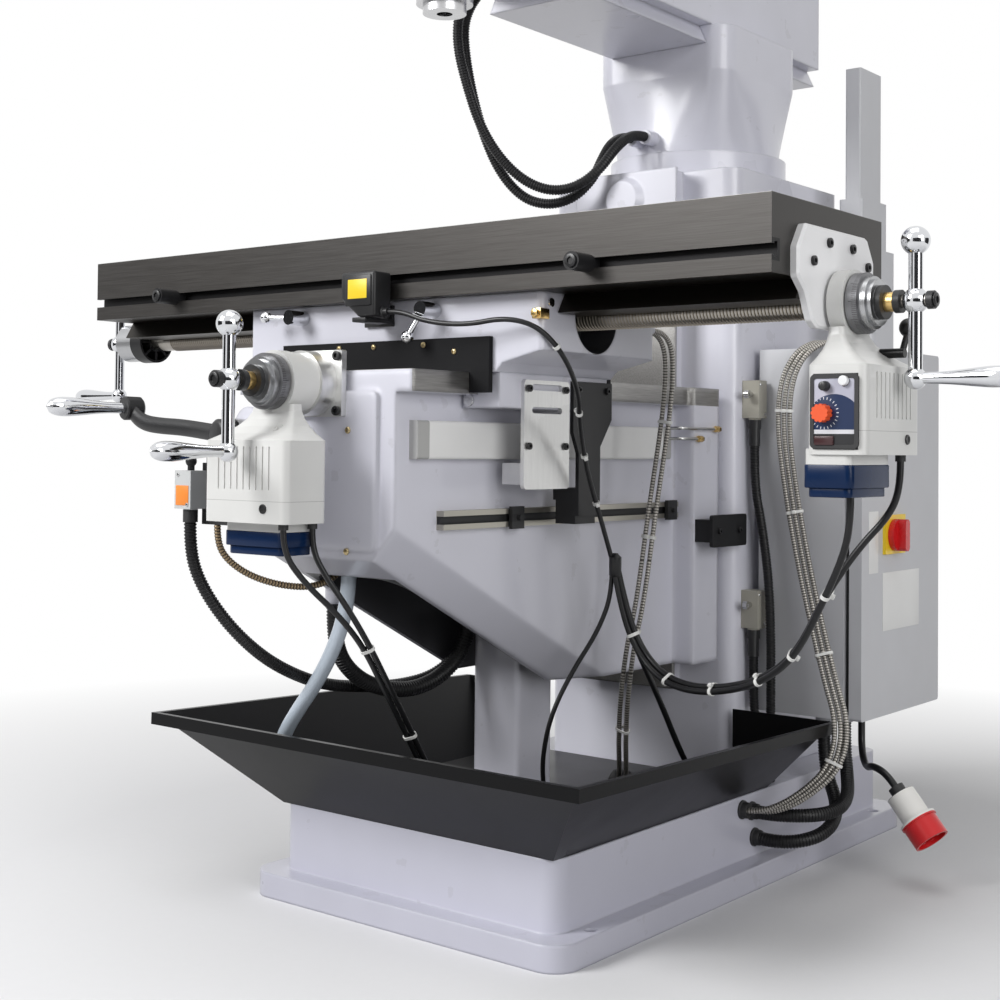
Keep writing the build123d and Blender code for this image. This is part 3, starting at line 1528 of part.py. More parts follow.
# Quill and spindle
quill_nose = spindle_nose + 14
with BuildPart() as quill:
    with BuildSketch(Plane.XY.offset(quill_nose)):
        Circle(quill_radius)
        Circle(spindle_radius + journal_gap, mode=Mode.SUBTRACT)
    extrude(amount=quill_top - quill_nose)
with BuildPart() as spindle:
    with BuildSketch(Plane.XY.offset(quill_nose - way_gap)):
        Circle(spindle_radius)
    extrude(amount=quill_top - quill_nose + 20)
    with BuildSketch(Plane.XY.offset(spindle_nose)):
        Circle(spindle_radius + 8)
    extrude(amount=quill_nose - spindle_nose - way_gap)
    with BuildSketch(Plane.XY.offset(spindle_nose)):
        Circle(taper_bore_radius)
    extrude(amount=taper_bore_length, mode=Mode.SUBTRACT)

# Quill feed lever
quill_lever_hub = (head_half_width + 10 + free_gap, -20.0, head_bottom + 60)
with BuildPart() as quill_lever:
    rod((head_half_width - 28, -20, head_bottom + 60), quill_lever_hub, 12)
    rod(quill_lever_hub, (quill_lever_hub[0] + 30, -20, head_bottom + 60), 22)
    rod(
        (quill_lever_hub[0] + 16, -20, head_bottom + 60),
        (quill_lever_hub[0] + 40, -165, head_bottom + 110),
        7,
    )
    with Locations((quill_lever_hub[0] + 40, -165, head_bottom + 110)):
        Sphere(17)


def cord_group(name, cords, hoses=()):
    """Plain cords and ribbed hoses of one node, each given as its points and diameter."""
    with BuildPart() as group:
        for points, diameter in cords:
            cord(cord_path(name, points), diameter)
        for points, diameter in hoses:
            ribbed_hose(cord_path(name, points), diameter)
    return group


# Way height at which the knee's cords are drawn, and the height above which they move whole with the knee
cord_way_height = 800.0
cord_hang_height = 480.0


def hung(points):
    """Route of a cord on the knee: it rises with the ways, and its lower end stays in the tray."""
    lift = knee_way_height - cord_way_height
    reach = cord_hang_height - base_height
    return [(x, y, z + lift * min(1, (z - base_height) / reach)) for x, y, z in points]


# Cables on the saddle: the table switch's lead and two armoured scale leads
table_switch_lead = [
    (48, -172, 885), (74, -172, 885), (118, -168, 868), (180, -158, 862), (242, -152, 870), (284, -134, 858),
    (298, -96, 822), (286, -45, 776), (252, 5, 732), (232, 48, 670), (227, 85, 600), (225, 110, 535),
]
scale_lead = [
    (258, 160, 872), (258, 190, 872), (257, 216, 852), (254, 226, 812), (250, 224, 750), (244, 216, 680),
    (236, 210, 610), (228, 204, 530),
]
saddle_cables = cord_group(
    "saddle_cables",
    [(hung(table_switch_lead), 7), (hung(scale_lead), 8), (hung(shifted(scale_lead, (13, 0, 0))), 8)],
)

# The same leads from the knee down into the tray, and the cross feed's two leads
switch_lead_drop = [
    (225, 110, 535), (223.56, 128, 488.2), (205, 124, 430), (178, 96, 370), (160, 70, 310), (148, 66, 252),
    (136, 82, 205), (122, 112, 168), (106, 148, 150),
]
feed_lead_drop = [
    (230, 131, 520), (236, 138, 462), (248, 168, 393), (255, 215, 320), (250, 270, 250), (235, 330, 200),
    (210, 390, 163), (180, 460, 147.7),
]
scale_lead_drop = [
    (228, 204, 530), (221.6, 199.2, 466), (208, 194, 400), (192, 202, 320), (166, 237, 250), (132, 290, 195),
    (95, 345, 162), (60, 395, 150),
]
cross_feed_lead = [
    (58, -373, 589), (58, -373, 560), (70, -345, 520), (82, -300, 480), (78, -245, 432), (70, -195, 370),
    (62, -140, 300), (50, -90, 240), (35, -30, 190), (20, 20, 160), (5, 68, 150),
]
cross_motor_lead = [
    (58, -321, 589), (58, -321, 562), (72, -312, 530), (92, -286, 488), (90, -240, 438), (81, -190, 376),
    (73, -135, 306), (61, -85, 246), (46, -25, 196), (31, 25, 166), (16, 73, 152),
]
tray_cables = cord_group(
    "tray_cables",
    [
        (hung(switch_lead_drop), 7),
        (hung(feed_lead_drop), 9),
        (hung(scale_lead_drop), 8),
        (hung(shifted(scale_lead_drop, (13, 0, 0))), 8),
        (hung(cross_feed_lead), 8),
        (hung(cross_motor_lead), 8),
    ],
)

# Conduits and hoses under the knee
switch_conduit = [
    (-197, -311, 588), (-197, -311, 548), (-188, -300, 502), (-168, -272, 449), (-148, -230, 402),
    (-140, -175, 368), (-140, -100, 340), (-130, -30, 330), (-112, 40, 326), (-82, 94, 340), (-62, 136, 382),
    (-61, 156, 436),
]
knee_conduit = [
    (-100, -118, 466), (-100, -118, 420), (-102, -100, 378), (-96, -62, 345), (-84, -15, 328), (-70, 35, 326),
    (-54, 78, 345), (-38, 106, 382), (-33, 116, 426),
]
oil_hose = [
    (-160, -293, 585), (-160, -293, 560), (-150, -283, 535), (-128, -258, 512), (-100, -222, 498),
    (-78, -182, 495), (-68, -142, 510), (-64, -112, 545),
]
coolant_hose = [
    (-40, -150, 540), (-40, -150, 495), (-50, -151, 445), (-72, -151, 398), (-104, -150, 352), (-145, -146, 308),
    (-182, -138, 268), (-212, -118, 240),
]
knee_conduits = cord_group(
    "knee_conduits",
    [(hung(oil_hose), 10), (hung(coolant_hose), 22)],
    hoses=[(hung(switch_conduit), 18), (hung(knee_conduit), 24)],
)

# Leads from the table's feed unit, looped across to the knee
table_motor_lead = [
    (667, -6, 642), (667, -6, 612), (652, 8, 570), (612, 30, 505), (560, 58, 430), (498, 82, 388),
    (430, 100, 366), (362, 116, 358), (304, 132, 368), (262, 140, 402), (243, 130, 455), (236, 114, 520),
]
table_feed_lead = [
    (703, 58, 685), (703, 58, 655), (690, 56, 616), (660, 54, 570), (616, 62, 505), (564, 78, 432),
    (502, 96, 396), (434, 112, 378), (366, 128, 370), (308, 146, 380), (270, 153, 412), (254, 142, 462),
    (247, 128, 520),
]
x_feed_cables = cord_group("x_feed_cables", [(hung(table_motor_lead), 9), (hung(table_feed_lead), 9)])

# Armoured leads from the readout's post down to the base
readout_lead = [
    (292, 784.5, 882), (292, 748, 882), (306, 705, 882), (320, 652, 882), (316, 602, 880), (298, 570, 858),
    (278, 562, 812), (270, 568, 732), (284, 572, 624), (310, 566, 510), (344, 552, 404), (376, 534, 324),
    (402, 518, 272), (406, 508, 228), (396, 494, 190), (368, 476, 158), (334, 458, 132), (298, 447, 119),
]
readout_end = (base_half_width, 447, 119)
readout_bend = 5
readout_routes = [
    shifted(readout_lead[:readout_bend], (12 * place, 0, 0))
    + shifted(readout_lead[readout_bend:], (7 * place, -10 * place, 0))
    + shifted([readout_end], (0, -10 * place, 0))
    for place in (-1, 0, 1)
]
readout_cables = cord_group("readout_cables", [(route, 9) for route in readout_routes])

# Ribbed hoses below the limit switches and the cabinet, and the supply lead
upper_switch_hose = [
    (211, 578, 704), (211, 578, 640), (226, 578, 570), (240, 577, 480), (246, 575, 380), (247, 573, 260),
    (247, 573, 140),
]
lower_switch_hose = [(211, 578, 347), (211, 578, 290), (218, 576, 215), (218, 576, 140)]
front_cabinet_hose = [
    (345, 650, 243), (345, 650, 200), (356, 636, 158), (374, 606, 130), (382, 566, 116), (370, 526, 112),
    (342, 494, 112), (304, 476, 112), (265, 476, 112),
]
rear_cabinet_hose = [
    (312, 640, 243), (312, 640, 198), (322, 632, 152), (342, 610, 114), (360, 575, 88), (356, 535, 75),
    (334, 502, 70), (306, 486, 68), (265, 486, 68),
]
supply_lead = [
    (350, 705, 243), (350, 705, 214), (360, 690, 192), (382, 664, 186), (406, 636, 192), (430, 618, 178),
    (452, 614, 154),
]
cabinet_hoses = cord_group(
    "cabinet_hoses",
    [(supply_lead, 12)],
    hoses=[
        (upper_switch_hose, 16),
        (lower_switch_hose, 16),
        (front_cabinet_hose, 22),
        (rear_cabinet_hose, 22),
    ],
)

# Supply plug on the end of its lead
plug_plane = Plane(origin=supply_lead[-1], z_dir=Vector(*supply_lead[-1]) - Vector(*supply_lead[-2]))
with BuildPart() as mains_plug:
    stepped_shaft(plug_plane, [(0, 16, 13), (14, 64, 24), (60, 66, 31), (64, 100, 29)])
    with BuildSketch(plug_plane.offset(100)):
        Circle(25)
    extrude(amount=-30, mode=Mode.SUBTRACT)
    with BuildSketch(plug_plane.offset(70)):
        with PolarLocations(14, 5):
            Circle(3)
    extrude(amount=26)

# Two hoses from the ram to the turret
ram_hose = [
    (-132, 300, 1512), (-172, 300, 1512), (-206, 302, 1494), (-226, 308, 1455), (-232, 316, 1400),
    (-228, 328, 1335), (-212, 346, 1268), (-184, 366, 1210), (-146, 388, 1168), (-102, 408, 1148),
    (-60, 428, 1154), (-28, 450, 1184), (-10, 478, 1226), (-5, 518, 1258), (-5, 560, 1258),
]
motor_hose = [
    (-132, 330, 1512), (-174, 330, 1512), (-212, 332, 1492), (-236, 338, 1452), (-246, 346, 1396),
    (-244, 358, 1328), (-230, 376, 1258), (-204, 394, 1196), (-166, 414, 1150), (-122, 434, 1128),
    (-80, 448, 1136), (-54, 461, 1166), (-42, 474, 1206), (-37, 496, 1242), (-35, 526, 1258), (-35, 560, 1258),
]
head_hoses = cord_group("head_hoses", [], hoses=[(ram_hose, 18), (motor_hose, 18)])

pieces = {
    "base": base,
    "column": column,
    "chip_tray": chip_tray,
    "elevating_pedestal": elevating_pedestal,
    "knee": knee,
    "elevating_screw": elevating_screw,
    "elevating_shaft": elevating_shaft,
    "knee_crank": knee_crank,
    "knee_crank_handle": knee_crank_handle,
    "y_lead_screw": y_lead_screw,
    "y_ball_crank": y_ball_crank,
    "y_feed_bracket": y_feed_bracket,
    "y_feed_housing": y_feed_housing,
    "y_feed_motor_cap": y_feed_motor_cap,
    "x_lead_screw": x_lead_screw,
    "x_ball_crank": x_ball_crank,
    "x_left_crank": x_left_crank,
    "x_left_bracket": x_left_bracket,
    "x_feed_bracket": x_feed_bracket,
    "x_feed_housing": x_feed_housing,
    "x_feed_motor_cap": x_feed_motor_cap,
    "x_speed_knob": x_speed_knob,
    "x_rapid_button": x_rapid_button,
    "x_direction_lever": x_direction_lever,
    "saddle": saddle,
    "way_wipers": way_wipers,
    "keeper_strips": keeper_strips,
    "table_limit_switch": table_limit_switch,
    "scale_reader_bracket": scale_reader_bracket,
    "y_limit_switch": y_limit_switch,
    "lead_screw_nuts": lead_screw_nuts,
    "table_lock_left": table_lock_left,
    "table_lock_right": table_lock_right,
    "table": table,
    "table_stops": table_stops,
    "y_scale": y_scale,
    "y_stop_rail": y_stop_rail,
    "z_trip_dog": z_trip_dog,
    "crank_switch": crank_switch,
    "crank_switch_plunger": crank_switch_plunger,
    "electrical_cabinet": electrical_cabinet,
    "cabinet_door": cabinet_door,
    "main_switch_knob": main_switch_knob,
    "z_limit_switches": z_limit_switches,
    "readout_post": readout_post,
    "turret": turret,
    "ram": ram,
    "head_casting": head_casting,
    "head_motor": head_motor,
    "quill": quill,
    "spindle": spindle,
    "quill_lever": quill_lever,
    "head_hoses": head_hoses,
    "saddle_cables": saddle_cables,
    "tray_cables": tray_cables,
    "x_feed_cables": x_feed_cables,
    "knee_conduits": knee_conduits,
    "readout_cables": readout_cables,
    "cabinet_hoses": cabinet_hoses,
    "mains_plug": mains_plug,
}

os.makedirs("parts", exist_ok=True)
for label, piece in pieces.items():
    piece.part.label = label
    export_step(piece.part, f"parts/{label}.step")
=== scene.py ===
import math

import bpy
from bpy.props import FloatProperty, FloatVectorProperty, PointerProperty
from bpy.types import Operator, Panel, PropertyGroup
from mathutils import Matrix, Vector


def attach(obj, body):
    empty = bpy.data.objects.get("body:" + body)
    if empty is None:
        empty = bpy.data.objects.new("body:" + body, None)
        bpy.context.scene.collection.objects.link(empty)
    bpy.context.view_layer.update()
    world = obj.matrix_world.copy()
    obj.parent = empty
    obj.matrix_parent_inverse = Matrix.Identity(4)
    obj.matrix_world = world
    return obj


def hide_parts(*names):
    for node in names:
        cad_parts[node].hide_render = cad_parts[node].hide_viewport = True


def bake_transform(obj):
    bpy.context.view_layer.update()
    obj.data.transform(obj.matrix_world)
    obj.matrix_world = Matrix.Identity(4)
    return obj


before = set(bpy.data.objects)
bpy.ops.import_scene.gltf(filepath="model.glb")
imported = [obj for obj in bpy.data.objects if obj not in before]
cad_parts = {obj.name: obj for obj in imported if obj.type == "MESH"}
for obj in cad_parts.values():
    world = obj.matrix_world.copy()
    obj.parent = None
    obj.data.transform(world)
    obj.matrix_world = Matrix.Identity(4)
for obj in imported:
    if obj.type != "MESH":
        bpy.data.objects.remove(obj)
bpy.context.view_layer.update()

bl_info = {
    "name": "Milling machine dressing",
    "version": (1, 0, 0),
    "blender": (4, 5, 0),
    "location": "View3D > Sidebar > Milling machine",
    "description": "Finishes, cables and small fittings of a knee-type milling machine",
    "category": "Object",
}

X_SIDE = Vector((1, 0, 0))
FRONT = Vector((0, -1, 0))
UP = Vector((0, 0, 1))
SHARP_ANGLE = math.radians(35)
TABLE_SCREW_Z = 0.878
# The cross feed is a table feed that is turned to the front, moved back and lowered
CROSS_FEED_BACK = 0.33
CROSS_FEED_DROP = 0.096


def mm(*values):
    """A point given in millimetres, in metres."""
    return Vector(values) / 1000


def colour_property(name, words, default):
    """Colour that a user may change."""
    kind = {"subtype": "COLOR", "size": 3, "min": 0, "max": 1}
    return FloatVectorProperty(name=name, description=words, default=default, **kind)


def length_property(name, words, default):
    """Length in metres that a user may change."""
    return FloatProperty(name=name, description=words, unit="LENGTH", min=0, default=default, precision=4)


def power_property(name, words, default):
    """Lamp power in watts that a user may change."""
    return FloatProperty(name=name, description=words, unit="POWER", default=default)


class MillColours(PropertyGroup):
    """Paint and plastic colours of the machine."""

    casting: colour_property("Castings", "Enamel on the knee, saddle and column", (0.64, 0.64, 0.71))
    # The base's enamel is the castings' enamel made darker, as painted shade under the tray
    base: colour_property("Base", "Enamel on the base casting", (0.52, 0.52, 0.6))
    tray: colour_property("Chip tray", "Enamel on the folded tray", (0.005, 0.005, 0.0055))
    housing: colour_property("Feed housing", "Moulded gearbox of the feed units", (0.65, 0.65, 0.635))
    cap: colour_property("Motor cap", "Moulded cap below the feed units", (0.004, 0.017, 0.06))
    knob: colour_property("Speed knob", "Star knob on the feed panel", (0.78, 0.1, 0.025))
    cabinet: colour_property("Cabinet", "Textured enamel on the electrical cabinet", (0.55, 0.555, 0.58))
    switch_plate: colour_property("Switch plate", "Plate behind the main switch", (0.85, 0.6, 0.02))
    switch_knob: colour_property("Main switch", "Rotary knob on the cabinet door", (0.6, 0.012, 0.015))
    patch: colour_property("Switch patch", "Bare patch on the crank switch", (0.85, 0.25, 0.03))


class MillSizes(PropertyGroup):
    """Sizes of the small fittings."""

    thread_pitch: length_property("Thread pitch", "Lead of the table screw's thread", 0.005)
    thread_height: length_property("Thread height", "How far the thread stands up", 0.0016)
    rib_pitch: length_property("Hose rib pitch", "Spacing of a corrugated hose's ribs", 0.0048)
    rib_depth: length_property("Hose rib depth", "Depth of the corrugation", 0.0011)
    armour_pitch: length_property("Armour pitch", "Spacing of the spiral armour's turns", 0.0044)
    armour_depth: length_property("Armour depth", "Depth between the armour's turns", 0.0007)
    tie_width: length_property("Tie width", "Width of a cable tie's band", 0.0048)


class MillStage(PropertyGroup):
    """Floor and light."""

    floor: colour_property("Floor", "Plain pale floor", (0.78, 0.78, 0.79))
    key_power: power_property("Key light", "Soft light at the left front", 285)
    fill_power: power_property("Fill light", "Soft light at the right", 108)
    top_power: power_property("Top light", "Soft light above", 45)
    sky: FloatProperty(name="Sky", description="Even light from all round", default=0.22, min=0)


class Value:
    """Shader socket that takes part in Python arithmetic."""

    def __init__(self, nodes, socket):
        self.nodes = nodes
        self.socket = socket

    def maths(self, operation, first, second):
        return self.nodes.node("ShaderNodeMath", {"operation": operation}, {0: first, 1: second})

    def __add__(self, other):
        return self.maths("ADD", self, other)

    __radd__ = __add__

    def __sub__(self, other):
        return self.maths("SUBTRACT", self, other)

    def __rsub__(self, other):
        return self.maths("SUBTRACT", other, self)

    def __mul__(self, other):
        return self.maths("MULTIPLY", self, other)

    __rmul__ = __mul__

    def __truediv__(self, other):
        return self.maths("DIVIDE", self, other)

    def __pow__(self, other):
        return self.maths("POWER", self, other)

    def __mod__(self, other):
        return self.maths("FLOORED_MODULO", self, other)

    def __gt__(self, other):
        return self.maths("GREATER_THAN", self, other)

    def __lt__(self, other):
        return self.maths("LESS_THAN", self, other)

    def __abs__(self):
        return self.maths("ABSOLUTE", self, 0.0)

    def angle_to(self, other):
        """Angle of the direction (other, self)."""
        return self.maths("ARCTAN2", self, other)

    def between(self, low, high):
        """One where the value lies in a band."""
        return (self > low) * (self < high)


class Nodes:
    """Shader node tree whose nodes are added by expressions."""

    def __init__(self, tree):
        self.tree = tree

    def node(self, kind, settings, sockets, output=0):
        """Adds a node: its settings first, then the values or links of its sockets."""
        added = self.tree.nodes.new(kind)
        for key, value in settings.items():
            setattr(added, key, value)
        for key, value in sockets.items():
            self.feed(added.inputs[key], value)
        return Value(self, added.outputs[output])

    def several(self, kind, sockets, keys):
        """Adds a node and gives several of its outputs."""
        outputs = self.node(kind, {}, sockets).socket.node.outputs
        return tuple(Value(self, outputs[key]) for key in keys)

    def feed(self, socket, value):
        """Links a value to a socket, or sets a plain one on it."""
        if isinstance(value, Value):
            self.tree.links.new(value.socket, socket)
        else:
            socket.default_value = value

    def background_rays(self):
        """One for rays that see the background: from the camera, from gloss and through glass."""
        names = ("Is Camera Ray", "Is Glossy Ray", "Is Transmission Ray")
        camera, glossy, clear = self.several("ShaderNodeLightPath", {}, names)
        return (camera + glossy + clear) > 0.5


class Finish(Nodes):
    """Material of one piece or several."""

    def __init__(self, name):
        self.material = bpy.data.materials.new(name)
        self.material.use_nodes = True
        super().__init__(self.material.node_tree)
        self.surface = self.tree.nodes["Principled BSDF"]

    def dress(self, **sockets):
        """Feeds sockets of the surface, named with underscores."""
        for key, value in sockets.items():
            self.feed(self.surface.inputs[key.replace("_", " ")], value)

    def place(self):
        """Position on the piece."""
        return self.node("ShaderNodeTexCoord", {}, {}, "Object")

    def axes(self):
        """The three coordinates of the position."""
        return self.several("ShaderNodeSeparateXYZ", {0: self.place()}, range(3))

    def noise(self, scale, detail=3.0, stretch=(1, 1, 1)):
        """Noise from 0 to 1, stretched along the axes."""
        spot = self.node("ShaderNodeMapping", {}, {"Vector": self.place(), "Scale": stretch})
        return self.node("ShaderNodeTexNoise", {}, {"Vector": spot, "Scale": scale, "Detail": detail})

    def mix(self, share, first, second):
        """Colour between two colours."""
        return self.node("ShaderNodeMix", {"data_type": "RGBA"}, {0: share, 6: first, 7: second}, 2)

    def bump(self, height, strength, distance, edges=0.0):
        """Relief on the surface, over edges that are rounded off."""
        sockets = {"Height": height, "Strength": strength, "Distance": distance}
        if edges:
            sockets["Normal"] = self.node("ShaderNodeBevel", {"samples": 6}, {"Radius": edges})
        self.dress(Normal=self.node("ShaderNodeBump", {}, sockets))


STEEL = ((0.36, 0.34, 0.31), 1.0, 0.24)
BLACK = (0.012, 0.012, 0.013)
SATIN_BLACK = (0.01, 0.01, 0.011)
BRASS = (0.72, 0.5, 0.2)
GRIME = (0.22, 0.21, 0.2)
# Painted shade for the dark insides of the knee and of the saddle's screw mouths
PAINTED_SHADE_INSIDE = (0.06, 0.06, 0.066)
GROUND_WAY = ((0.2, 0.195, 0.19), (0.44, 0.43, 0.415))
# Ground table iron: the dark sides are painted shade, and the top has the lighter ground colour
SHADED_TABLE_IRON = ((0.036, 0.034, 0.033), (0.084, 0.082, 0.08))
TABLE_TOP_IRON = (0.42, 0.415, 0.41)
OIL_STAIN = (0.062, 0.054, 0.046)
OILY_IRON = (0.02, 0.017, 0.013)
ENAMEL_GLOSS = 0.3


def shade(colour, factor=1.0):
    """Colour with alpha, made lighter or darker."""
    return (*(min(1.0, part * factor) for part in colour), 1.0)


def as_it_is(x, y, z):
    """Position on a piece, unchanged."""
    return x, y, z


def on_cross_feed(x, y, z):
    """Position on the cross feed, as the same spot on the table feed has it."""
    return CROSS_FEED_BACK - y, x, z + CROSS_FEED_DROP


def enamel(name, colour, ways=None, hollow=None, edges=0.006):
    """Gloss enamel on a casting. Masks: ways is where it is ground bare, hollow where painted shade darkens
    it.
    """
    finish = Finish(name)
    cloud = finish.noise(5.0)
    peel = finish.noise(160.0, 2.0)
    grime = finish.noise(22.0, 6.0)
    paint = finish.mix(cloud, shade(colour, 0.9), shade(colour, 1.08))
    paint = finish.mix((grime > 0.66) * 0.12, paint, shade(GRIME))
    rough = ENAMEL_GLOSS + (cloud - 0.5) * 0.14
    if hollow is not None:
        # painted shade inside the hollow
        paint = finish.mix(hollow(*finish.axes()), paint, shade(PAINTED_SHADE_INSIDE))
    if ways is None:
        finish.dress(Base_Color=paint, Roughness=rough, Metallic=0.0)
    else:
        mask = ways(*finish.axes())
        marks = finish.noise(9.0, 4.0, (60, 3, 60))
        metal = finish.mix(marks, *map(shade, GROUND_WAY))
        finish.dress(
            Base_Color=finish.mix(mask, paint, metal),
            Roughness=rough + mask * (marks * 0.2 + 0.02),
            Metallic=mask,
        )
    finish.dress(Coat_Weight=0.3, Coat_Roughness=0.12)
    finish.bump(peel, 0.12, 0.0006, edges)
    return finish.material


def ground_iron(name):
    """Ground grey iron: fine marks along the table, dark sides as painted shade under a lighter top, oily
    brown below, painted shade in the stop slot.
    """
    finish = Finish(name)
    marks = finish.noise(7.0, 6.0, (2.5, 190, 190))
    stain = finish.noise(3.0, 4.0)
    across, height = finish.axes()[1:]
    # painted shade: the sides much darker than the top
    metal = finish.mix(marks, *map(shade, SHADED_TABLE_IRON))
    metal = finish.mix((height > 0.9995) * 0.6, metal, shade(TABLE_TOP_IRON))
    metal = finish.mix(stain * 0.4, metal, shade(OIL_STAIN))
    metal = finish.mix((height < 0.9055) * 0.75, metal, shade(OILY_IRON))
    # painted shade in the stop slot
    slot = across.between(-0.1497, -0.13) * height.between(0.9195, 0.9465)
    metal = finish.mix(slot * 0.9, metal, shade(BLACK))
    finish.dress(Base_Color=metal, Metallic=0.9, Roughness=0.3 + marks * 0.2)
    finish.bump(marks, 0.1, 0.0004)
    return finish.material


def plated(name, colour, rough, spread=0.06):
    """Polished or plated metal with a little handling wear."""
    finish = Finish(name)
    wear = finish.noise(40.0, 5.0)
    finish.dress(
        Base_Color=finish.mix(wear, shade(colour, 0.94), shade(colour, 1.04)),
        Metallic=1.0,
        Roughness=rough + wear * spread,
    )
    return finish.material


def armoured(name, colour, gap):
    """Spiral armour or braid: bright turns over gaps darkened with painted shade, from the tube's own crest
    attribute.
    """
    finish = Finish(name)
    crest = finish.node("ShaderNodeAttribute", {"attribute_name": "crest"}, {}, "Fac")
    wear = finish.noise(60.0, 4.0)
    turns = finish.mix(wear, shade(colour, 0.84), shade(colour, 1.12))
    # the gap colour is painted shade between the turns
    finish.dress(Base_Color=finish.mix(crest, shade(gap), turns), Metallic=0.6, Roughness=0.4 - crest * 0.12)
    return finish.material


def machined(name, colour, rough=0.28):
    """Milled metal with faint cutter marks and stains."""
    finish = Finish(name)
    marks = finish.noise(30.0, 4.0, (1, 6, 1))
    stain = finish.noise(12.0, 4.0)
    metal = finish.mix(marks, shade(colour, 0.86), shade(colour, 1.1))
    finish.dress(
        Base_Color=finish.mix((stain > 0.6) * 0.2, metal, shade(colour, 0.66)),
        Metallic=1.0,
        Roughness=rough + marks * 0.18,
    )
    finish.bump(marks, 0.08, 0.0003)
    return finish.material


def moulded(name, colour, rough, grain=420.0, relief=0.1, coat=0.0, shine=0.5):
    """Moulded plastic, rubber or satin paint with a fine grain."""
    finish = Finish(name)
    fine = finish.noise(grain, 2.0)
    cloud = finish.noise(9.0)
    finish.dress(
        Base_Color=finish.mix(cloud, shade(colour, 0.9), shade(colour, 1.1)),
        Roughness=rough + (cloud - 0.5) * 0.12,
        Coat_Weight=coat,
        Specular_IOR_Level=shine,
    )
    finish.bump(fine, relief, 0.0004)
    return finish.material


def dial_lines(x, y, z):
    """Mask of a feed screw's dial lines: a hundred short ones round it, and every tenth one longer."""
    share = ((z - TABLE_SCREW_Z).angle_to(y) / (2 * math.pi) + 1) * 100
    fine = (share % 1 < 0.2) * x.between(0.681, 0.6875)
    tens = ((share / 10) % 1 < 0.025) * x.between(0.6775, 0.6875)
    return (fine + tens) > 0.5


def feed_screw(name, bands, along, where):
    """Turned screw with a dial, in bands of (start, end, colour, metallic, roughness) along its axis."""
    finish = Finish(name)
    x, y, z = where(*finish.axes())
    stretch = tuple(900 if index == along else 2 for index in range(3))
    lathe = finish.noise(1.0, 3.0, stretch)
    colour, metallic, rough = STEEL
    tint = finish.mix(lathe, shade(colour, 0.82), shade(colour, 1.12))
    metal_share = metallic
    rough_share = lathe * 0.1 + rough
    for start, end, band_colour, band_metal, band_rough in bands:
        mask = x.between(start, end)
        tint = finish.mix(mask, tint, shade(band_colour))
        metal_share = metal_share + mask * (band_metal - metallic)
        rough_share = rough_share + mask * (band_rough - rough)
    tint = finish.mix(dial_lines(x, y, z), tint, shade(BLACK))
    finish.dress(Base_Color=tint, Metallic=metal_share, Roughness=rough_share)
    return finish.material


def zoned(name, colour, rough, zones, grain=420.0, relief=0.1, metal=0.0, where=as_it_is):
    """Piece with zones of other finishes: (mask of the position, colour, roughness, metallic)."""
    finish = Finish(name)
    spots = where(*finish.axes())
    fine = finish.noise(grain, 2.0)
    cloud = finish.noise(9.0)
    tint = finish.mix(cloud, shade(colour, 0.92), shade(colour, 1.08))
    rough_share = rough + (cloud - 0.5) * 0.12
    metal_share = metal
    for mask_of, zone_colour, zone_rough, zone_metal in zones:
        mask = mask_of(*spots)
        tint = finish.mix(mask, tint, shade(zone_colour))
        rough_share = rough_share + mask * (zone_rough - rough)
        if zone_metal != metal:
            metal_share = metal_share + mask * (zone_metal - metal)
    finish.dress(Base_Color=tint, Roughness=rough_share, Metallic=metal_share)
    finish.bump(fine, relief, 0.0004)
    return finish.material


def deselect():
    """Nothing stays selected."""
    bpy.ops.object.select_all(action="DESELECT")


def pick(piece):
    """Only this piece is selected and active."""
    deselect()
    piece.select_set(True)
    bpy.context.view_layer.objects.active = piece


def settle(piece):
    """Puts a piece's place, turn and size into its mesh."""
    pick(piece)
    bpy.ops.object.transform_apply(location=True, rotation=True, scale=True)
    return piece


def finished(piece, kind, **settings):
    """Adds a modifier and applies it."""
    pick(piece)
    modifier = piece.modifiers.new(kind, kind)
    for key, value in settings.items():
        setattr(modifier, key, value)
    bpy.ops.object.modifier_apply(modifier=modifier.name)
    return piece


def bevelled(piece, width, segments=2):
    """Rounds a piece's sharp edges."""
    limits = {"limit_method": "ANGLE", "angle_limit": SHARP_ANGLE}
    return finished(piece, "BEVEL", width=width, segments=segments, **limits)


def slab(low, high, round_by=0.0, segments=2):
    """Rectangular piece between two corners."""
    deselect()
    bpy.ops.mesh.primitive_cube_add(size=1, location=(low + high) / 2, scale=high - low)
    piece = settle(bpy.context.object)
    return bevelled(piece, round_by, segments) if round_by else piece


def upright_rounded(piece, width):
    """Rounds a piece's upright edges."""
    pick(piece)
    bpy.ops.object.mode_set(mode="EDIT")
    bpy.ops.mesh.select_mode(type="EDGE")
    bpy.ops.mesh.select_all(action="DESELECT")
    bpy.ops.object.mode_set(mode="OBJECT")
    for edge in piece.data.edges:
        start, end = (piece.data.vertices[index].co for index in edge.vertices)
        edge.select = abs((end - start).normalized().z) > 0.99
    bpy.ops.object.mode_set(mode="EDIT")
    bpy.ops.mesh.bevel(offset=width, segments=5, affect="EDGES")
    bpy.ops.object.mode_set(mode="OBJECT")
    return piece


def bar(start, end, radius, round_by=0.0, sides=32):
    """Round bar between two points."""
    span = end - start
    deselect()
    bpy.ops.mesh.primitive_cylinder_add(
        vertices=sides,
        radius=radius,
        depth=span.length,
        location=(start + end) / 2,
        rotation=span.to_track_quat("Z", "Y").to_euler(),
    )
    piece = settle(bpy.context.object)
    return bevelled(piece, round_by) if round_by else piece


def cut(piece, tool):
    """Takes one piece's shape out of another."""
    finished(piece, "BOOLEAN", operation="DIFFERENCE", object=tool, solver="EXACT")
    bpy.data.objects.remove(tool)
    return piece


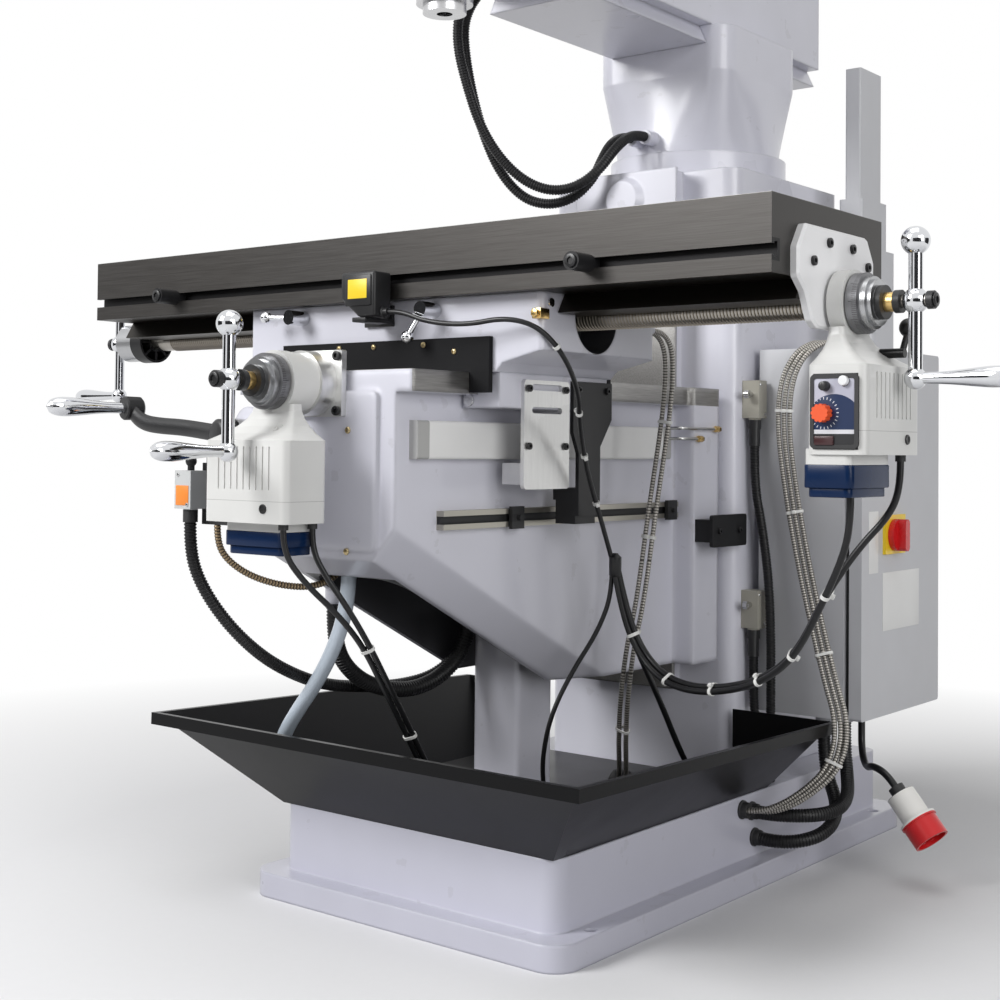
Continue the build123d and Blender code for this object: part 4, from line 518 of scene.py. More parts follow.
def outward(origin, out, up=UP):
    """Matrix of a place whose local z points out."""
    z_axis = Vector(out).normalized()
    x_axis = Vector(up).cross(z_axis).normalized()
    y_axis = z_axis.cross(x_axis)
    turn = Matrix((x_axis, y_axis, z_axis)).transposed().to_4x4()
    return Matrix.Translation(origin) @ turn


def turned(place, profile, steps=40):
    """Turned piece on a place's z axis, from (height, radius) in millimetres."""
    mesh = bpy.data.meshes.new("profile")
    points = [mm(radius, 0, height) for height, radius in profile]
    mesh.from_pydata(points, [(index, index + 1) for index in range(len(points) - 1)], [])
    piece = bpy.data.objects.new("profile", mesh)
    bpy.context.scene.collection.objects.link(piece)
    finished(piece, "SCREW", steps=steps, render_steps=steps, use_merge_vertices=True, merge_threshold=1e-6)
    bpy.ops.object.mode_set(mode="EDIT")
    bpy.ops.mesh.select_all(action="SELECT")
    bpy.ops.mesh.remove_doubles(threshold=1e-6)
    bpy.ops.mesh.normals_make_consistent(inside=False)
    bpy.ops.object.mode_set(mode="OBJECT")
    piece.matrix_world = place
    return settle(piece)


def copies(pattern, places):
    """A piece repeated at several places, as one object. The pattern itself goes."""
    made = []
    for place in places:
        piece = pattern.copy()
        piece.data = pattern.data.copy()
        piece.data.transform(place)
        bpy.context.scene.collection.objects.link(piece)
        made.append(piece)
    bpy.data.objects.remove(pattern)
    return joined(made)


def joined(pieces):
    """Several pieces as one object."""
    deselect()
    for piece in pieces:
        piece.select_set(True)
    bpy.context.view_layer.objects.active = pieces[0]
    bpy.ops.object.join()
    return bpy.context.object


def fit(piece, name, body, material, slot):
    """Names a piece, dresses it and lets it ride on its body."""
    piece.name = name
    piece.data.name = name
    piece.data.materials.clear()
    piece.data.materials.append(material)
    pick(piece)
    bpy.ops.object.shade_smooth_by_angle(angle=SHARP_ANGLE)
    if body is not None:
        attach(piece, body)
    return piece


def paint(material, *nodes):
    """Gives CAD nodes their finish."""
    for node in nodes:
        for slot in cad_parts[node].material_slots:
            slot.material = material


def socket_screw(radius, height):
    """Cap screw with a hexagon socket, standing on the origin."""
    head = bar(Vector((0, 0, 0)), Vector((0, 0, height)), radius, radius * 0.12, 28)
    tool = bar(Vector((0, 0, height * 0.4)), Vector((0, 0, height * 1.5)), radius * 0.55, 0, 6)
    return cut(head, tool)


def pan_screw(radius):
    """Round-headed screw with a cross recess, standing on the origin."""
    profile = [(0, 0), (0, 1000), (250, 980), (520, 720), (640, 0)]
    head = turned(Matrix.Identity(4), [(radius * height, radius * out) for height, out in profile], 24)
    middle = Vector((0, 0, radius * 0.62))
    for wide, deep in ((1.1, 0.22), (0.22, 1.1)):
        half = Vector((wide * radius / 2, deep * radius / 2, radius * 0.3))
        head = cut(head, slab(middle - half, middle + half))
    return head


def slotted_screw(radius, height):
    """Flat-headed screw with a slot, standing on the origin."""
    head = bar(Vector((0, 0, 0)), Vector((0, 0, height)), radius, radius * 0.1, 32)
    half = Vector((radius * 1.1, radius * 0.1, height * 0.3))
    return cut(head, slab(Vector((0, 0, height)) - half, Vector((0, 0, height)) + half))


def route_line(points):
    """Smooth line along a cord's route, read from a spline with the route's points, in metres."""
    curve = bpy.data.curves.new("route", "CURVE")
    curve.dimensions = "3D"
    curve.resolution_u = 12
    spline = curve.splines.new("NURBS")
    spline.points.add(len(points) - 1)
    for knot, point in zip(spline.points, points):
        knot.co = (*mm(*point), 1)
    spline.order_u = 3
    spline.use_endpoint_u = True
    holder = bpy.data.objects.new("route", curve)
    bpy.context.scene.collection.objects.link(holder)
    bpy.context.view_layer.update()
    mesh = bpy.data.meshes.new_from_object(holder)
    line = [vertex.co.copy() for vertex in mesh.vertices]
    bpy.data.objects.remove(holder)
    bpy.data.curves.remove(curve)
    bpy.data.meshes.remove(mesh)
    return line


def distances(line):
    """Distance along a line at each of its points."""
    reached = [0.0]
    for before, after in zip(line, line[1:]):
        reached.append(reached[-1] + (after - before).length)
    return reached


def along_line(line, reached, distance):
    """Point and direction at a distance along a line."""
    index = 0
    while index < len(line) - 2 and reached[index + 1] < distance:
        index += 1
    share = (distance - reached[index]) / max(reached[index + 1] - reached[index], 1e-9)
    point = line[index].lerp(line[index + 1], share)
    before = line[index + 1] - line[max(index - 1, 0)]
    after = line[min(index + 2, len(line) - 1)] - line[index]
    return point, before.normalized().lerp(after.normalized(), share).normalized()


def tube(line, stations, sides):
    """Closed tube round a line, from (distance, radius) stations."""
    reached = distances(line)
    points = []
    across = None
    for distance, radius in stations:
        point, along = along_line(line, reached, distance)
        if across is None:
            across = along.orthogonal()
        across = (across - along * across.dot(along)).normalized()
        other = along.cross(across)
        for side in range(sides):
            turn = 2 * math.pi * side / sides
            points.append(point + (across * math.cos(turn) + other * math.sin(turn)) * radius)
    faces = [tuple(reversed(range(sides)))]
    for ring in range(len(stations) - 1):
        start = ring * sides
        for side in range(sides):
            after = (side + 1) % sides
            faces.append((start + side, start + after, start + sides + after, start + sides + side))
    faces.append(tuple(range(len(points) - sides, len(points))))
    mesh = bpy.data.meshes.new("tube")
    mesh.from_pydata(points, [], faces)
    radii = [radius for _, radius in stations]
    span = max(radii) - min(radii) or 1.0
    crest = mesh.attributes.new("crest", "FLOAT", "POINT")
    crest.data.foreach_set("value", [(radius - min(radii)) / span for radius in radii for _ in range(sides)])
    piece = bpy.data.objects.new("tube", mesh)
    bpy.context.scene.collection.objects.link(piece)
    return piece


def plain_stations(line, radius):
    """Stations of a smooth jacket."""
    return [(distance, radius) for distance in distances(line)]


def wavy_stations(line, radius, pitch, depth, shares):
    """Stations of a corrugated hose or spiral armour: shares of the pitch where it rises and falls."""
    length = distances(line)[-1]
    count = int(length / pitch)
    first = (length - count * pitch) / 2
    stations = []
    for rib in range(count):
        for share, drop in zip(shares, (1, 0, 0, 1)):
            stations.append((first + (rib + share) * pitch, radius - depth * drop))
    return [(0.0, radius - depth), *stations, (length, radius - depth)]


# Routes of the cords in millimetres, as in the part's source
TABLE_SWITCH_LEAD = [
    (48, -172, 885), (74, -172, 885), (118, -168, 868), (180, -158, 862), (242, -152, 870), (284, -134, 858),
    (298, -96, 822), (286, -45, 776), (252, 5, 732), (233, 49, 670), (230, 89, 600), (231, 119.5, 535),
]
SCALE_LEAD = [
    (258, 160, 872), (258, 190, 872), (257, 216, 852), (254, 226, 812), (250, 224, 750), (244, 216, 680),
    (236, 210, 610), (228, 204, 530),
]
SWITCH_LEAD_HANG = [(231, 119.5, 535), (226, 129, 488), (205, 124, 430), (178, 96, 370), (169, 83, 340)]
SWITCH_LEAD_DROP = [
    (169, 83, 340), (160, 70, 310), (148, 66, 252), (136, 82, 205), (122, 112, 168), (106, 148, 150),
]
FEED_LEAD_HANG = [(233.5, 125.5, 520), (237, 137, 462), (248, 168, 393), (251.5, 191.5, 356.5)]
FEED_LEAD_DROP = [
    (251.5, 191.5, 356.5), (255, 215, 320), (250, 270, 250), (235, 330, 200), (210, 390, 163),
    (180, 460, 147.7),
]
SCALE_LEAD_HANG = [(228, 204, 530), (221.6, 199.2, 466), (208, 194, 400), (200, 198, 360)]
SCALE_LEAD_DROP = [
    (200, 198, 360), (192, 202, 320), (166, 237, 250), (132, 290, 195), (95, 345, 162), (60, 395, 150),
]
CROSS_FEED_LEAD = [
    (58, -373, 589), (58, -373, 560), (70, -345, 520), (82, -300, 480), (78, -245, 432), (70, -195, 370),
    (62, -140, 300), (50, -90, 240), (35, -30, 190), (20, 20, 160), (5, 68, 150),
]
CROSS_MOTOR_LEAD = [
    (58, -321, 589), (58, -321, 562), (72, -312, 530), (90, -288, 487), (85, -242, 436), (77, -192, 374),
    (69, -137, 304), (57, -87, 244), (42, -27, 194), (28, 23, 164), (14, 72, 152),
]
SWITCH_CONDUIT = [
    (-197, -311, 588), (-197, -311, 548), (-188, -300, 502), (-168, -272, 449), (-148, -230, 402),
    (-140, -175, 368), (-140, -100, 340), (-130, -30, 330), (-112, 40, 326), (-82, 94, 340), (-62, 136, 382),
    (-61, 156, 436),
]
KNEE_CONDUIT = [
    (-100, -118, 466), (-100, -118, 420), (-102, -100, 378), (-96, -62, 345), (-84, -15, 328), (-70, 35, 326),
    (-54, 78, 345), (-38, 106, 382), (-33, 116, 426),
]
OIL_HOSE = [
    (-160, -293, 585), (-160, -293, 560), (-150, -283, 535), (-128, -258, 512), (-100, -222, 498),
    (-78, -182, 495), (-68, -142, 510), (-64, -112, 545),
]
COOLANT_HOSE = [
    (-40, -150, 540), (-40, -150, 495), (-50, -151, 445), (-72, -151, 398), (-104, -150, 352),
    (-145, -146, 308), (-182, -138, 268), (-212, -118, 240),
]
TABLE_MOTOR_LEAD = [
    (667, -6, 642), (667, -6, 612), (652, 8, 570), (612, 30, 505), (560, 58, 430), (498, 82, 388),
    (430, 100, 366), (362, 116, 358), (304, 132, 368), (262, 140, 402), (243, 130, 455), (236, 118.5, 520),
]
TABLE_FEED_LEAD = [
    (703, 58, 685), (703, 58, 655), (692, 55, 620), (654, 43, 576), (609, 40, 511), (560, 64, 436),
    (500, 89, 394), (432, 107, 372), (364, 123, 364), (306, 139, 374), (266, 146, 407), (248, 135, 458),
    (239, 124, 520),
]
READOUT_HEAD = [(292, 784.5, 882), (292, 748, 882), (306, 705, 882), (320, 652, 882), (316, 602, 880)]
READOUT_FALL = [
    (298, 570, 858), (278, 562, 812), (270, 568, 732), (284, 572, 624), (310, 566, 510), (344, 552, 404),
    (376, 534, 324), (402, 518, 272), (406, 508, 228), (396, 494, 190), (368, 476, 158), (334, 458, 132),
    (298, 447, 119),
]
READOUT_END = [(265, 447, 119)]
UPPER_SWITCH_HOSE = [
    (211, 578, 704), (211, 578, 640), (226, 578, 570), (240, 577, 480), (246, 575, 380), (247, 573, 260),
    (247, 573, 140),
]
LOWER_SWITCH_HOSE = [(211, 578, 347), (211, 578, 290), (218, 576, 215), (218, 576, 140)]
FRONT_CABINET_HOSE = [
    (345, 650, 243), (345, 650, 200), (359, 632, 156), (374, 603, 130), (379, 566, 117), (370, 528, 113),
    (344, 495, 112), (301, 475, 111), (265, 476, 112),
]
REAR_CABINET_HOSE = [
    (312, 640, 243), (312, 640, 198), (321, 634, 152), (348, 615, 115), (365, 574, 93), (361, 537, 77),
    (337, 504, 68), (297, 484, 66), (265, 486, 68),
]
SUPPLY_LEAD = [
    (350, 705, 243), (350, 705, 220), (353, 699, 197), (363, 684, 177), (381, 661, 168), (403, 634, 179),
    (436, 617, 172), (452, 614, 154),
]
RAM_HOSE = [
    (-132, 300, 1512), (-172, 300, 1512), (-213, 302, 1489), (-236, 310, 1455), (-241, 316, 1404),
    (-228, 328, 1336), (-213, 346, 1268), (-184, 366, 1210), (-146, 388, 1168), (-102, 408, 1148),
    (-60, 428, 1154), (-28, 450, 1183), (-10, 476, 1227), (-5, 521, 1258), (-5, 560, 1258),
]
MOTOR_HOSE = [
    (-132, 330, 1512), (-174, 330, 1512), (-217, 333, 1493), (-245, 337, 1454), (-249, 347, 1399),
    (-241, 359, 1327), (-229, 376, 1258), (-205, 394, 1190), (-167, 414, 1142), (-121, 431, 1128),
    (-79, 447, 1139), (-48, 460, 1171), (-37, 472, 1207), (-36, 498, 1240), (-35, 536, 1258),
    (-35, 560, 1258),
]


def moved(points, *step):
    """The same route moved sideways, for cords that run together."""
    return [tuple(a + b for a, b in zip(point, step)) for point in points]


def readout_route(place):
    """One of the three readout leads, which run side by side."""
    return (
        moved(READOUT_HEAD, 12 * place, 0, 0)
        + moved(READOUT_FALL, 9 * place, 3 * place, 0)
        + moved(READOUT_END, 0, 7 * place, 0)
    )


# How each group of cords moves on the machine: one body, or two bodies with the heights or places between
# which it bends. Only a single body is used here; a cord between two bodies stays in place.
ON_SADDLE = ("saddle",)
ON_KNEE = ("knee",)
ON_FRAME = ("machine_frame",)
SADDLE_TO_KNEE = ("saddle", "knee", (0, 0, 0.505), (0, 0, 0.35))
KNEE_TO_FRAME = ("knee", "machine_frame", (0, 0, 0.335), (0, 0, 0.16))
FEED_TO_FRAME = ("knee", "machine_frame", (0, 0, 0.56), (0, 0, 0.17))
HOSE_TO_FRAME = ("knee", "machine_frame", (0, 0, 0.49), (0, 0, 0.25))
TABLE_TO_SADDLE = ("table", "saddle", (0.64, 0, 0), (0.26, 0, 0))
RAM_TO_TURRET = ("ram", "turret", (0, 0.3, 1.5), (0, 0.44, 1.22))

# Name, route, diameter in metres, jacket, how it moves, CAD node
CORDS = [
    ("table_switch_lead", TABLE_SWITCH_LEAD, 0.007, "plain", ON_SADDLE, "saddle_cables"),
    ("scale_lead", SCALE_LEAD, 0.008, "armour", ON_SADDLE, "saddle_cables"),
    ("reader_lead", moved(SCALE_LEAD, 13, 0, 0), 0.008, "armour", ON_SADDLE, "saddle_cables"),
    ("switch_lead_hang", SWITCH_LEAD_HANG, 0.007, "plain", SADDLE_TO_KNEE, "tray_cables"),
    ("switch_lead_drop", SWITCH_LEAD_DROP, 0.007, "plain", KNEE_TO_FRAME, "tray_cables"),
    ("feed_lead_hang", FEED_LEAD_HANG, 0.009, "plain", SADDLE_TO_KNEE, "tray_cables"),
    ("feed_lead_drop", FEED_LEAD_DROP, 0.009, "plain", KNEE_TO_FRAME, "tray_cables"),
    ("scale_lead_hang", SCALE_LEAD_HANG, 0.008, "armour", SADDLE_TO_KNEE, "tray_cables"),
    ("scale_lead_drop", SCALE_LEAD_DROP, 0.008, "armour", KNEE_TO_FRAME, "tray_cables"),
    ("reader_lead_hang", moved(SCALE_LEAD_HANG, 13, 0, 0), 0.008, "armour", SADDLE_TO_KNEE, "tray_cables"),
    ("reader_lead_drop", moved(SCALE_LEAD_DROP, 13, 0, 0), 0.008, "armour", KNEE_TO_FRAME, "tray_cables"),
    ("cross_feed_lead", CROSS_FEED_LEAD, 0.008, "plain", FEED_TO_FRAME, "tray_cables"),
    ("cross_motor_lead", CROSS_MOTOR_LEAD, 0.008, "plain", FEED_TO_FRAME, "tray_cables"),
    ("switch_conduit", SWITCH_CONDUIT, 0.018, "ribbed", ON_KNEE, "knee_conduits"),
    ("knee_conduit", KNEE_CONDUIT, 0.024, "ribbed", ON_KNEE, "knee_conduits"),
    ("oil_hose", OIL_HOSE, 0.010, "braid", ON_KNEE, "knee_conduits"),
    ("coolant_hose", COOLANT_HOSE, 0.022, "pale", HOSE_TO_FRAME, "knee_conduits"),
    ("table_motor_lead", TABLE_MOTOR_LEAD, 0.009, "plain", TABLE_TO_SADDLE, "x_feed_cables"),
    ("table_feed_lead", TABLE_FEED_LEAD, 0.009, "plain", TABLE_TO_SADDLE, "x_feed_cables"),
    ("readout_lead_left", readout_route(-1), 0.009, "armour", ON_FRAME, "readout_cables"),
    ("readout_lead_middle", readout_route(0), 0.009, "armour", ON_FRAME, "readout_cables"),
    ("readout_lead_right", readout_route(1), 0.009, "armour", ON_FRAME, "readout_cables"),
    ("upper_switch_hose", UPPER_SWITCH_HOSE, 0.016, "ribbed", ON_FRAME, "cabinet_hoses"),
    ("lower_switch_hose", LOWER_SWITCH_HOSE, 0.016, "ribbed", ON_FRAME, "cabinet_hoses"),
    ("front_cabinet_hose", FRONT_CABINET_HOSE, 0.022, "ribbed", ON_FRAME, "cabinet_hoses"),
    ("rear_cabinet_hose", REAR_CABINET_HOSE, 0.022, "ribbed", ON_FRAME, "cabinet_hoses"),
    ("supply_lead", SUPPLY_LEAD, 0.012, "plain", ON_FRAME, "cabinet_hoses"),
    ("ram_hose", RAM_HOSE, 0.018, "ribbed", RAM_TO_TURRET, "head_hoses"),
    ("motor_hose", MOTOR_HOSE, 0.018, "ribbed", RAM_TO_TURRET, "head_hoses"),
]

# Cable ties: the cords that each group holds, and their shares of the first cord's length
TIES = [
    (("table_switch_lead",), (0.42, 0.62, 0.74, 0.86)),
    (("scale_lead", "reader_lead"), (0.45, 0.9)),
    (("scale_lead_hang", "reader_lead_hang"), (0.6,)),
    (("scale_lead_drop", "reader_lead_drop"), (0.3,)),
    (("table_motor_lead", "table_feed_lead"), (0.2, 0.36, 0.47, 0.6, 0.73, 0.86)),
    (("cross_feed_lead", "cross_motor_lead"), (0.34, 0.6, 0.8)),
    (("readout_lead_left", "readout_lead_middle", "readout_lead_right"), (0.3, 0.46, 0.68, 0.84)),
]


def move_with(piece, motion):
    """Lets a piece ride on one body; a piece between two bodies is left in place."""
    if len(motion) == 1:
        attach(piece, motion[0])
    else:
        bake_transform(piece)


def stretched(piece, reach):
    """Pulls the two halves of a piece apart along y."""
    pick(piece)
    for side in (-1, 1):
        bpy.ops.object.mode_set(mode="EDIT")
        bpy.ops.mesh.select_mode(type="VERT")
        bpy.ops.mesh.select_all(action="DESELECT")
        bpy.ops.object.mode_set(mode="OBJECT")
        for vertex in piece.data.vertices:
            vertex.select = vertex.co.y * side > 1e-6
        bpy.ops.object.mode_set(mode="EDIT")
        bpy.ops.transform.translate(value=(0, side * reach, 0))
        bpy.ops.object.mode_set(mode="OBJECT")
    return piece


def cable_tie(centre, along, spread, radius, width):
    """Band of a cable tie with its square head. spread goes from the middle to the outermost cord."""
    side = spread if spread.length > radius / 4 else along.orthogonal()
    side = (side - along * side.dot(along)).normalized()
    half = width * 500
    inner, outer = radius * 1000, radius * 1000 + 1.2
    profile = [(-half, inner), (-half, outer), (half, outer), (half, inner), (-half, inner)]
    band = stretched(turned(Matrix.Identity(4), profile, 24), spread.length)
    head = slab(mm(-2.2, -2.8, -3), mm(3.2, 2.8, 3), 0.0006)
    head.data.transform(Matrix.Translation(Vector((radius + 0.0022, 0, 0))))
    tie = joined([band, head])
    tie.matrix_world = outward(centre, along, side)
    return settle(tie)


class MILL_OT_cables(Operator):
    """Cables, hoses and their ties, on the routes that the part gives them"""

    bl_idname = "mill.cables"
    bl_label = "Cables and hoses"

    def execute(self, context):
        sizes = context.scene.mill_sizes
        jackets = {
            "plain": moulded("black cable jacket", (0.009, 0.009, 0.01), 0.33, 300.0, 0.06, shine=0.35),
            "ribbed": moulded("black corrugated hose", SATIN_BLACK, 0.42, 260.0, 0.06, shine=0.35),
            # the second colour of each armour and braid is painted shade in its gaps
            "armour": armoured("bright spiral armour", (0.46, 0.44, 0.405), (0.07, 0.064, 0.055)),
            "braid": armoured("bronze braid", (0.3, 0.22, 0.13), (0.05, 0.038, 0.025)),
            "pale": moulded("pale coolant hose", (0.47, 0.53, 0.6), 0.3, 90.0, 0.05),
        }
        ribs = (sizes.rib_pitch, sizes.rib_depth, (0.15, 0.3, 0.7, 0.85))
        turns = (sizes.armour_pitch, sizes.armour_depth, (0.1, 0.35, 0.65, 0.9))
        waves = {"ribbed": (20, ribs), "armour": (12, turns), "braid": (12, turns)}
        ends = {"plug": ["mains_plug"], "fitting": [self.hose_end()], "object": []}
        lines = {}
        for name, route, diameter, jacket, motion, node in CORDS:
            line = route_line(route)
            lines[name] = (line, diameter, motion)
            if jacket in waves:
                sides, wave = waves[jacket]
                piece = tube(line, wavy_stations(line, diameter / 2, *wave), sides)
            else:
                piece = tube(line, plain_stations(line, diameter / 2), 16)
            fit(piece, name, None, jackets[jacket], "cable_armour" if jacket == "armour" else "cable_black")
            move_with(piece, motion)
            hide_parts(node)
            distances(line)[-1]
            "stiff" if jacket == "ribbed" else "medium"
        self.tie_up(lines, sizes.tie_width)
        return {"FINISHED"}

    def tie_up(self, lines, width):
        """White ties round the cords."""
        white = moulded("white cable tie", (0.78, 0.78, 0.76), 0.4, 300.0, 0.05)
        spots = [(held, share) for held, shares in TIES for share in shares]
        for number, (held, share) in enumerate(spots, 1):
            line, diameter, motion = lines[held[0]]
            reached = distances(line)
            point, along = along_line(line, reached, share * reached[-1])
            points = [point]
            for name in held[1:]:
                points.append(min(lines[name][0], key=lambda other: (other - point).length))
            centre = sum(points, Vector()) / len(points)
            spread = max((other - centre for other in points), key=lambda other: other.length)
            tie = cable_tie(centre, along, spread, diameter / 2 + 0.0004, width)
            fit(tie, f"cable_tie_{number}", None, white, "button_white")
            move_with(tie, motion)

    def hose_end(self):
        """Brass hose tail at the coolant hose's lower end."""
        before, end = mm(*COOLANT_HOSE[-2]), mm(*COOLANT_HOSE[-1])
        along = (end - before).normalized()
        profile = [(-16, 0), (-16, 12.6), (4, 12.6), (5, 9), (9, 9), (10, 7), (20, 6.4), (20, 0)]
        piece = turned(outward(end, along), profile, 28)
        brass = plated("hose tail brass", BRASS, 0.24)
        return fit(piece, "coolant_hose_tail", "machine_frame", brass, "nut_bronze")


def knee_ways(x, y, z):
    """Ground faces of the knee."""
    sides = z.between(0.7705, 0.801) * (abs(x) > 0.1645) * (y > -0.2485)
    return (sides + (z > 0.7995)) > 0.5


def knee_hollow(x, y, z):
    """Inside of the knee, open from below, darkened with painted shade."""
    return (abs(x) < 0.0865) * y.between(-0.1915, 0.4215) * (z < 0.7215)


def screw_mouth(x, y, z):
    """Mouths in the saddle's ends, where the screw passes, darkened with painted shade."""
    return ((y ** 2 + (z - TABLE_SCREW_Z) ** 2) ** 0.5 < 0.0507) * (abs(x) < 0.2828) * (abs(x) > 0.2)


def column_ways(x, y, z):
    """Ground faces of the column."""
    return (y < 0.525) * (abs(x) < 0.106) * (z < 1.06)


class MILL_OT_castings(Operator):
    """Enamel on the castings and the folded sheet"""

    bl_idname = "mill.castings"
    bl_label = "Castings and sheet"

    def execute(self, context):
        colours = context.scene.mill_colours
        lilac = enamel("lilac casting enamel", colours.casting)
        paint(lilac, "keeper_strips", "elevating_pedestal", "turret", "ram", "head_casting", "head_motor")
        paint(enamel("saddle enamel", colours.casting, hollow=screw_mouth), "saddle")
        paint(enamel("knee enamel and ground ways", colours.casting, knee_ways, knee_hollow, 0.014), "knee")
        paint(enamel("column enamel and ground way", colours.casting, column_ways), "column")
        # darker enamel on the base as painted shade under the tray
        paint(enamel("base enamel", colours.base), "base")
        paint(moulded("black tray enamel", colours.tray, 0.3, 160.0, 0.06, shine=0.12), "chip_tray")
        paint(moulded("white bracket enamel", (0.8, 0.8, 0.81), 0.34, 200.0, 0.08, 0.3), "x_feed_bracket")
        gasket = (lambda x, y, z: (x > 0.3672) * (y < 0.91), BLACK, 0.6, 0.0)
        shell = zoned("cabinet enamel and gasket", colours.cabinet, 0.42, [gasket], 700.0, 0.2)
        paint(shell, "electrical_cabinet", "readout_post")
        plate = (lambda x, y, z: x > 0.3985, colours.switch_plate, 0.35, 0.0)
        paint(zoned("cabinet door enamel", colours.cabinet, 0.42, [plate], 700.0, 0.2), "cabinet_door")
        return {"FINISHED"}


class MILL_OT_metalwork(Operator):
    """Bare, plated and blackened metal"""

    bl_idname = "mill.metalwork"
    bl_label = "Bare metal"

    def execute(self, context):
        paint(ground_iron("ground table iron"), "table")
        steel = plated("turned bright steel", (0.56, 0.56, 0.57), 0.22, 0.12)
        paint(steel, "elevating_screw", "elevating_shaft", "quill", "spindle")
        chrome = plated("polished chrome", (0.7, 0.71, 0.73), 0.05)
        paint(chrome, "x_ball_crank", "y_ball_crank", "x_left_crank", "knee_crank_handle", "quill_lever")
        paint(chrome, "table_lock_left", "table_lock_right")
        black = moulded("satin black metal", BLACK, 0.38, 260.0, 0.08, shine=0.3)
        paint(black, "x_left_bracket", "table_stops", "z_trip_dog")
        paint(machined("machined aluminium", (0.74, 0.74, 0.73)), "y_feed_bracket", "scale_reader_bracket")
        paint(machined("nut bronze", (0.6, 0.42, 0.2)), "lead_screw_nuts")
        # painted shade along the rail's groove
        shaded_groove = (lambda x, y, z: z.between(0.5925, 0.6035) * (x > 0.1375), BLACK, 0.5, 0.0)
        stops = (lambda x, y, z: (y.between(-0.024, 0.012) + y.between(0.389, 0.421)) > 0.5, BLACK, 0.4, 0.0)
        paint(zoned("stop rail metal", (0.44, 0.42, 0.37), 0.3, [shaded_groove, stops], metal=0.9), "y_stop_rail")
        self.feed_screws()
        return {"FINISHED"}

    def feed_screws(self):
        """Lead screws with their dials, clutch rings and crank hubs."""
        dark = (BLACK, 0.0, 0.4)
        brass = (BRASS, 1.0, 0.26)
        dial = ((0.22, 0.22, 0.228), 1.0, 0.36)
        rim = ((0.44, 0.445, 0.455), 1.0, 0.24)
        ends = [
            (0.7022, 0.7102, *dark),
            (0.7102, 0.7222, *brass),
            (0.7222, 0.7307, *dark),
            (0.762, 0.773, *dark),
            (-0.7382, -0.694, *rim),
            (-0.752, -0.7382, *dark),
            (-0.792, -0.783, *dark),
        ]
        screws = [
            ("table screw steel and dials", 0.6876, 0, as_it_is, "x_lead_screw"),
            ("cross screw steel and dial", 0.6878, 1, on_cross_feed, "y_lead_screw"),
        ]
        for name, dial_end, along, where, node in screws:
            bands = [(0.672, dial_end, *dial), (dial_end, 0.7022, *rim), *ends]
            paint(feed_screw(name, bands, along, where), node)


class MILL_OT_mouldings(Operator):
    """Moulded plastic, rubber and the switch bodies"""

    bl_idname = "mill.mouldings"
    bl_label = "Mouldings and switches"

    def execute(self, context):
        colours = context.scene.mill_colours
        rubber = (BLACK, 0.55, 0.0)
        housing = [
            (lambda x, y, z: (z < 0.693) * (y > 0.0505), *rubber),
            (lambda x, y, z: z.between(0.7212, 0.722) * (y > -0.079), (0.42, 0.42, 0.41), 0.4, 0.0),
            (lambda x, y, z: (y < -0.0782) * x.between(0.649, 0.713) * z.between(0.699, 0.789), *rubber),
        ]
        units = [("table", as_it_is, "x_feed_housing"), ("cross", on_cross_feed, "y_feed_housing")]
        for unit, where, node in units:
            paint(zoned(f"white {unit} feed moulding", colours.housing, 0.32, housing, where=where), node)
        paint(moulded("orange knob moulding", colours.knob, 0.34), "x_speed_knob")
        paint(moulded("clear white button", (0.8, 0.81, 0.82), 0.22), "x_rapid_button")
        black = moulded("black moulding", SATIN_BLACK, 0.36, shine=0.35)
        paint(black, "x_direction_lever", "crank_switch_plunger")
        paint(moulded("black wiper plate", (0.008, 0.008, 0.009), 0.46, 240.0, 0.12, shine=0.1), "way_wipers")
        paint(moulded("black switch enamel", BLACK, 0.4, 500.0, 0.14, shine=0.35), "y_limit_switch")
        plate = (lambda x, y, z: y > -0.2961, BLACK, 0.4, 0.0)
        gland = (lambda x, y, z: z < 0.6055, *rubber)
        paint(zoned("grey crank switch casting", (0.55, 0.56, 0.56), 0.4, [plate, gland]), "crank_switch")
        roller = (lambda x, y, z: y < 0.5645, (0.62, 0.62, 0.62), 0.2, 1.0)
        glands = (lambda x, y, z: (z.between(0.34, 0.392) + z.between(0.7, 0.749)) > 0.5, BLACK, 0.4, 0.0)
        beige = zoned("beige limit switch casting", (0.36, 0.345, 0.295), 0.38, [roller, glands])
        paint(beige, "z_limit_switches")
        caps = (lambda x, y, z: ((y < -0.198) + (y > 0.381)) > 0.5, (0.45, 0.45, 0.44), 0.5, 0.3)
        paint(zoned("white scale paint", (0.8, 0.8, 0.79), 0.34, [caps]), "y_scale")
        paint(moulded("red switch moulding", colours.switch_knob, 0.28), "main_switch_knob")
        return {"FINISHED"}


def along_plug(x, y, z):
    """Distance along the mains plug from its cable end."""
    start, way = mm(*SUPPLY_LEAD[-1]), Vector((22, -4, -24)).normalized()
    return (x - start.x) * way.x + (y - start.y) * way.y + (z - start.z) * way.z


class MILL_OT_plug(Operator):
    """Mains plug with its red collar"""

    bl_idname = "mill.plug"
    bl_label = "Mains plug"

    def execute(self, context):
        zones = [
            (lambda x, y, z: along_plug(x, y, z) < 0.0145, BLACK, 0.5, 0.0),
            (lambda x, y, z: along_plug(x, y, z) > 0.0635, context.scene.mill_colours.switch_knob, 0.3, 0.0),
        ]
        paint(zoned("white plug moulding", (0.8, 0.79, 0.76), 0.36, zones), "mains_plug")
        return {"FINISHED"}


KNOB_X, KNOB_Z = 0.668, 0.742


def from_point(x, z, point_x, point_z):
    """Distance from a point of a feed panel."""
    return ((x - point_x) ** 2 + (z - point_z) ** 2) ** 0.5


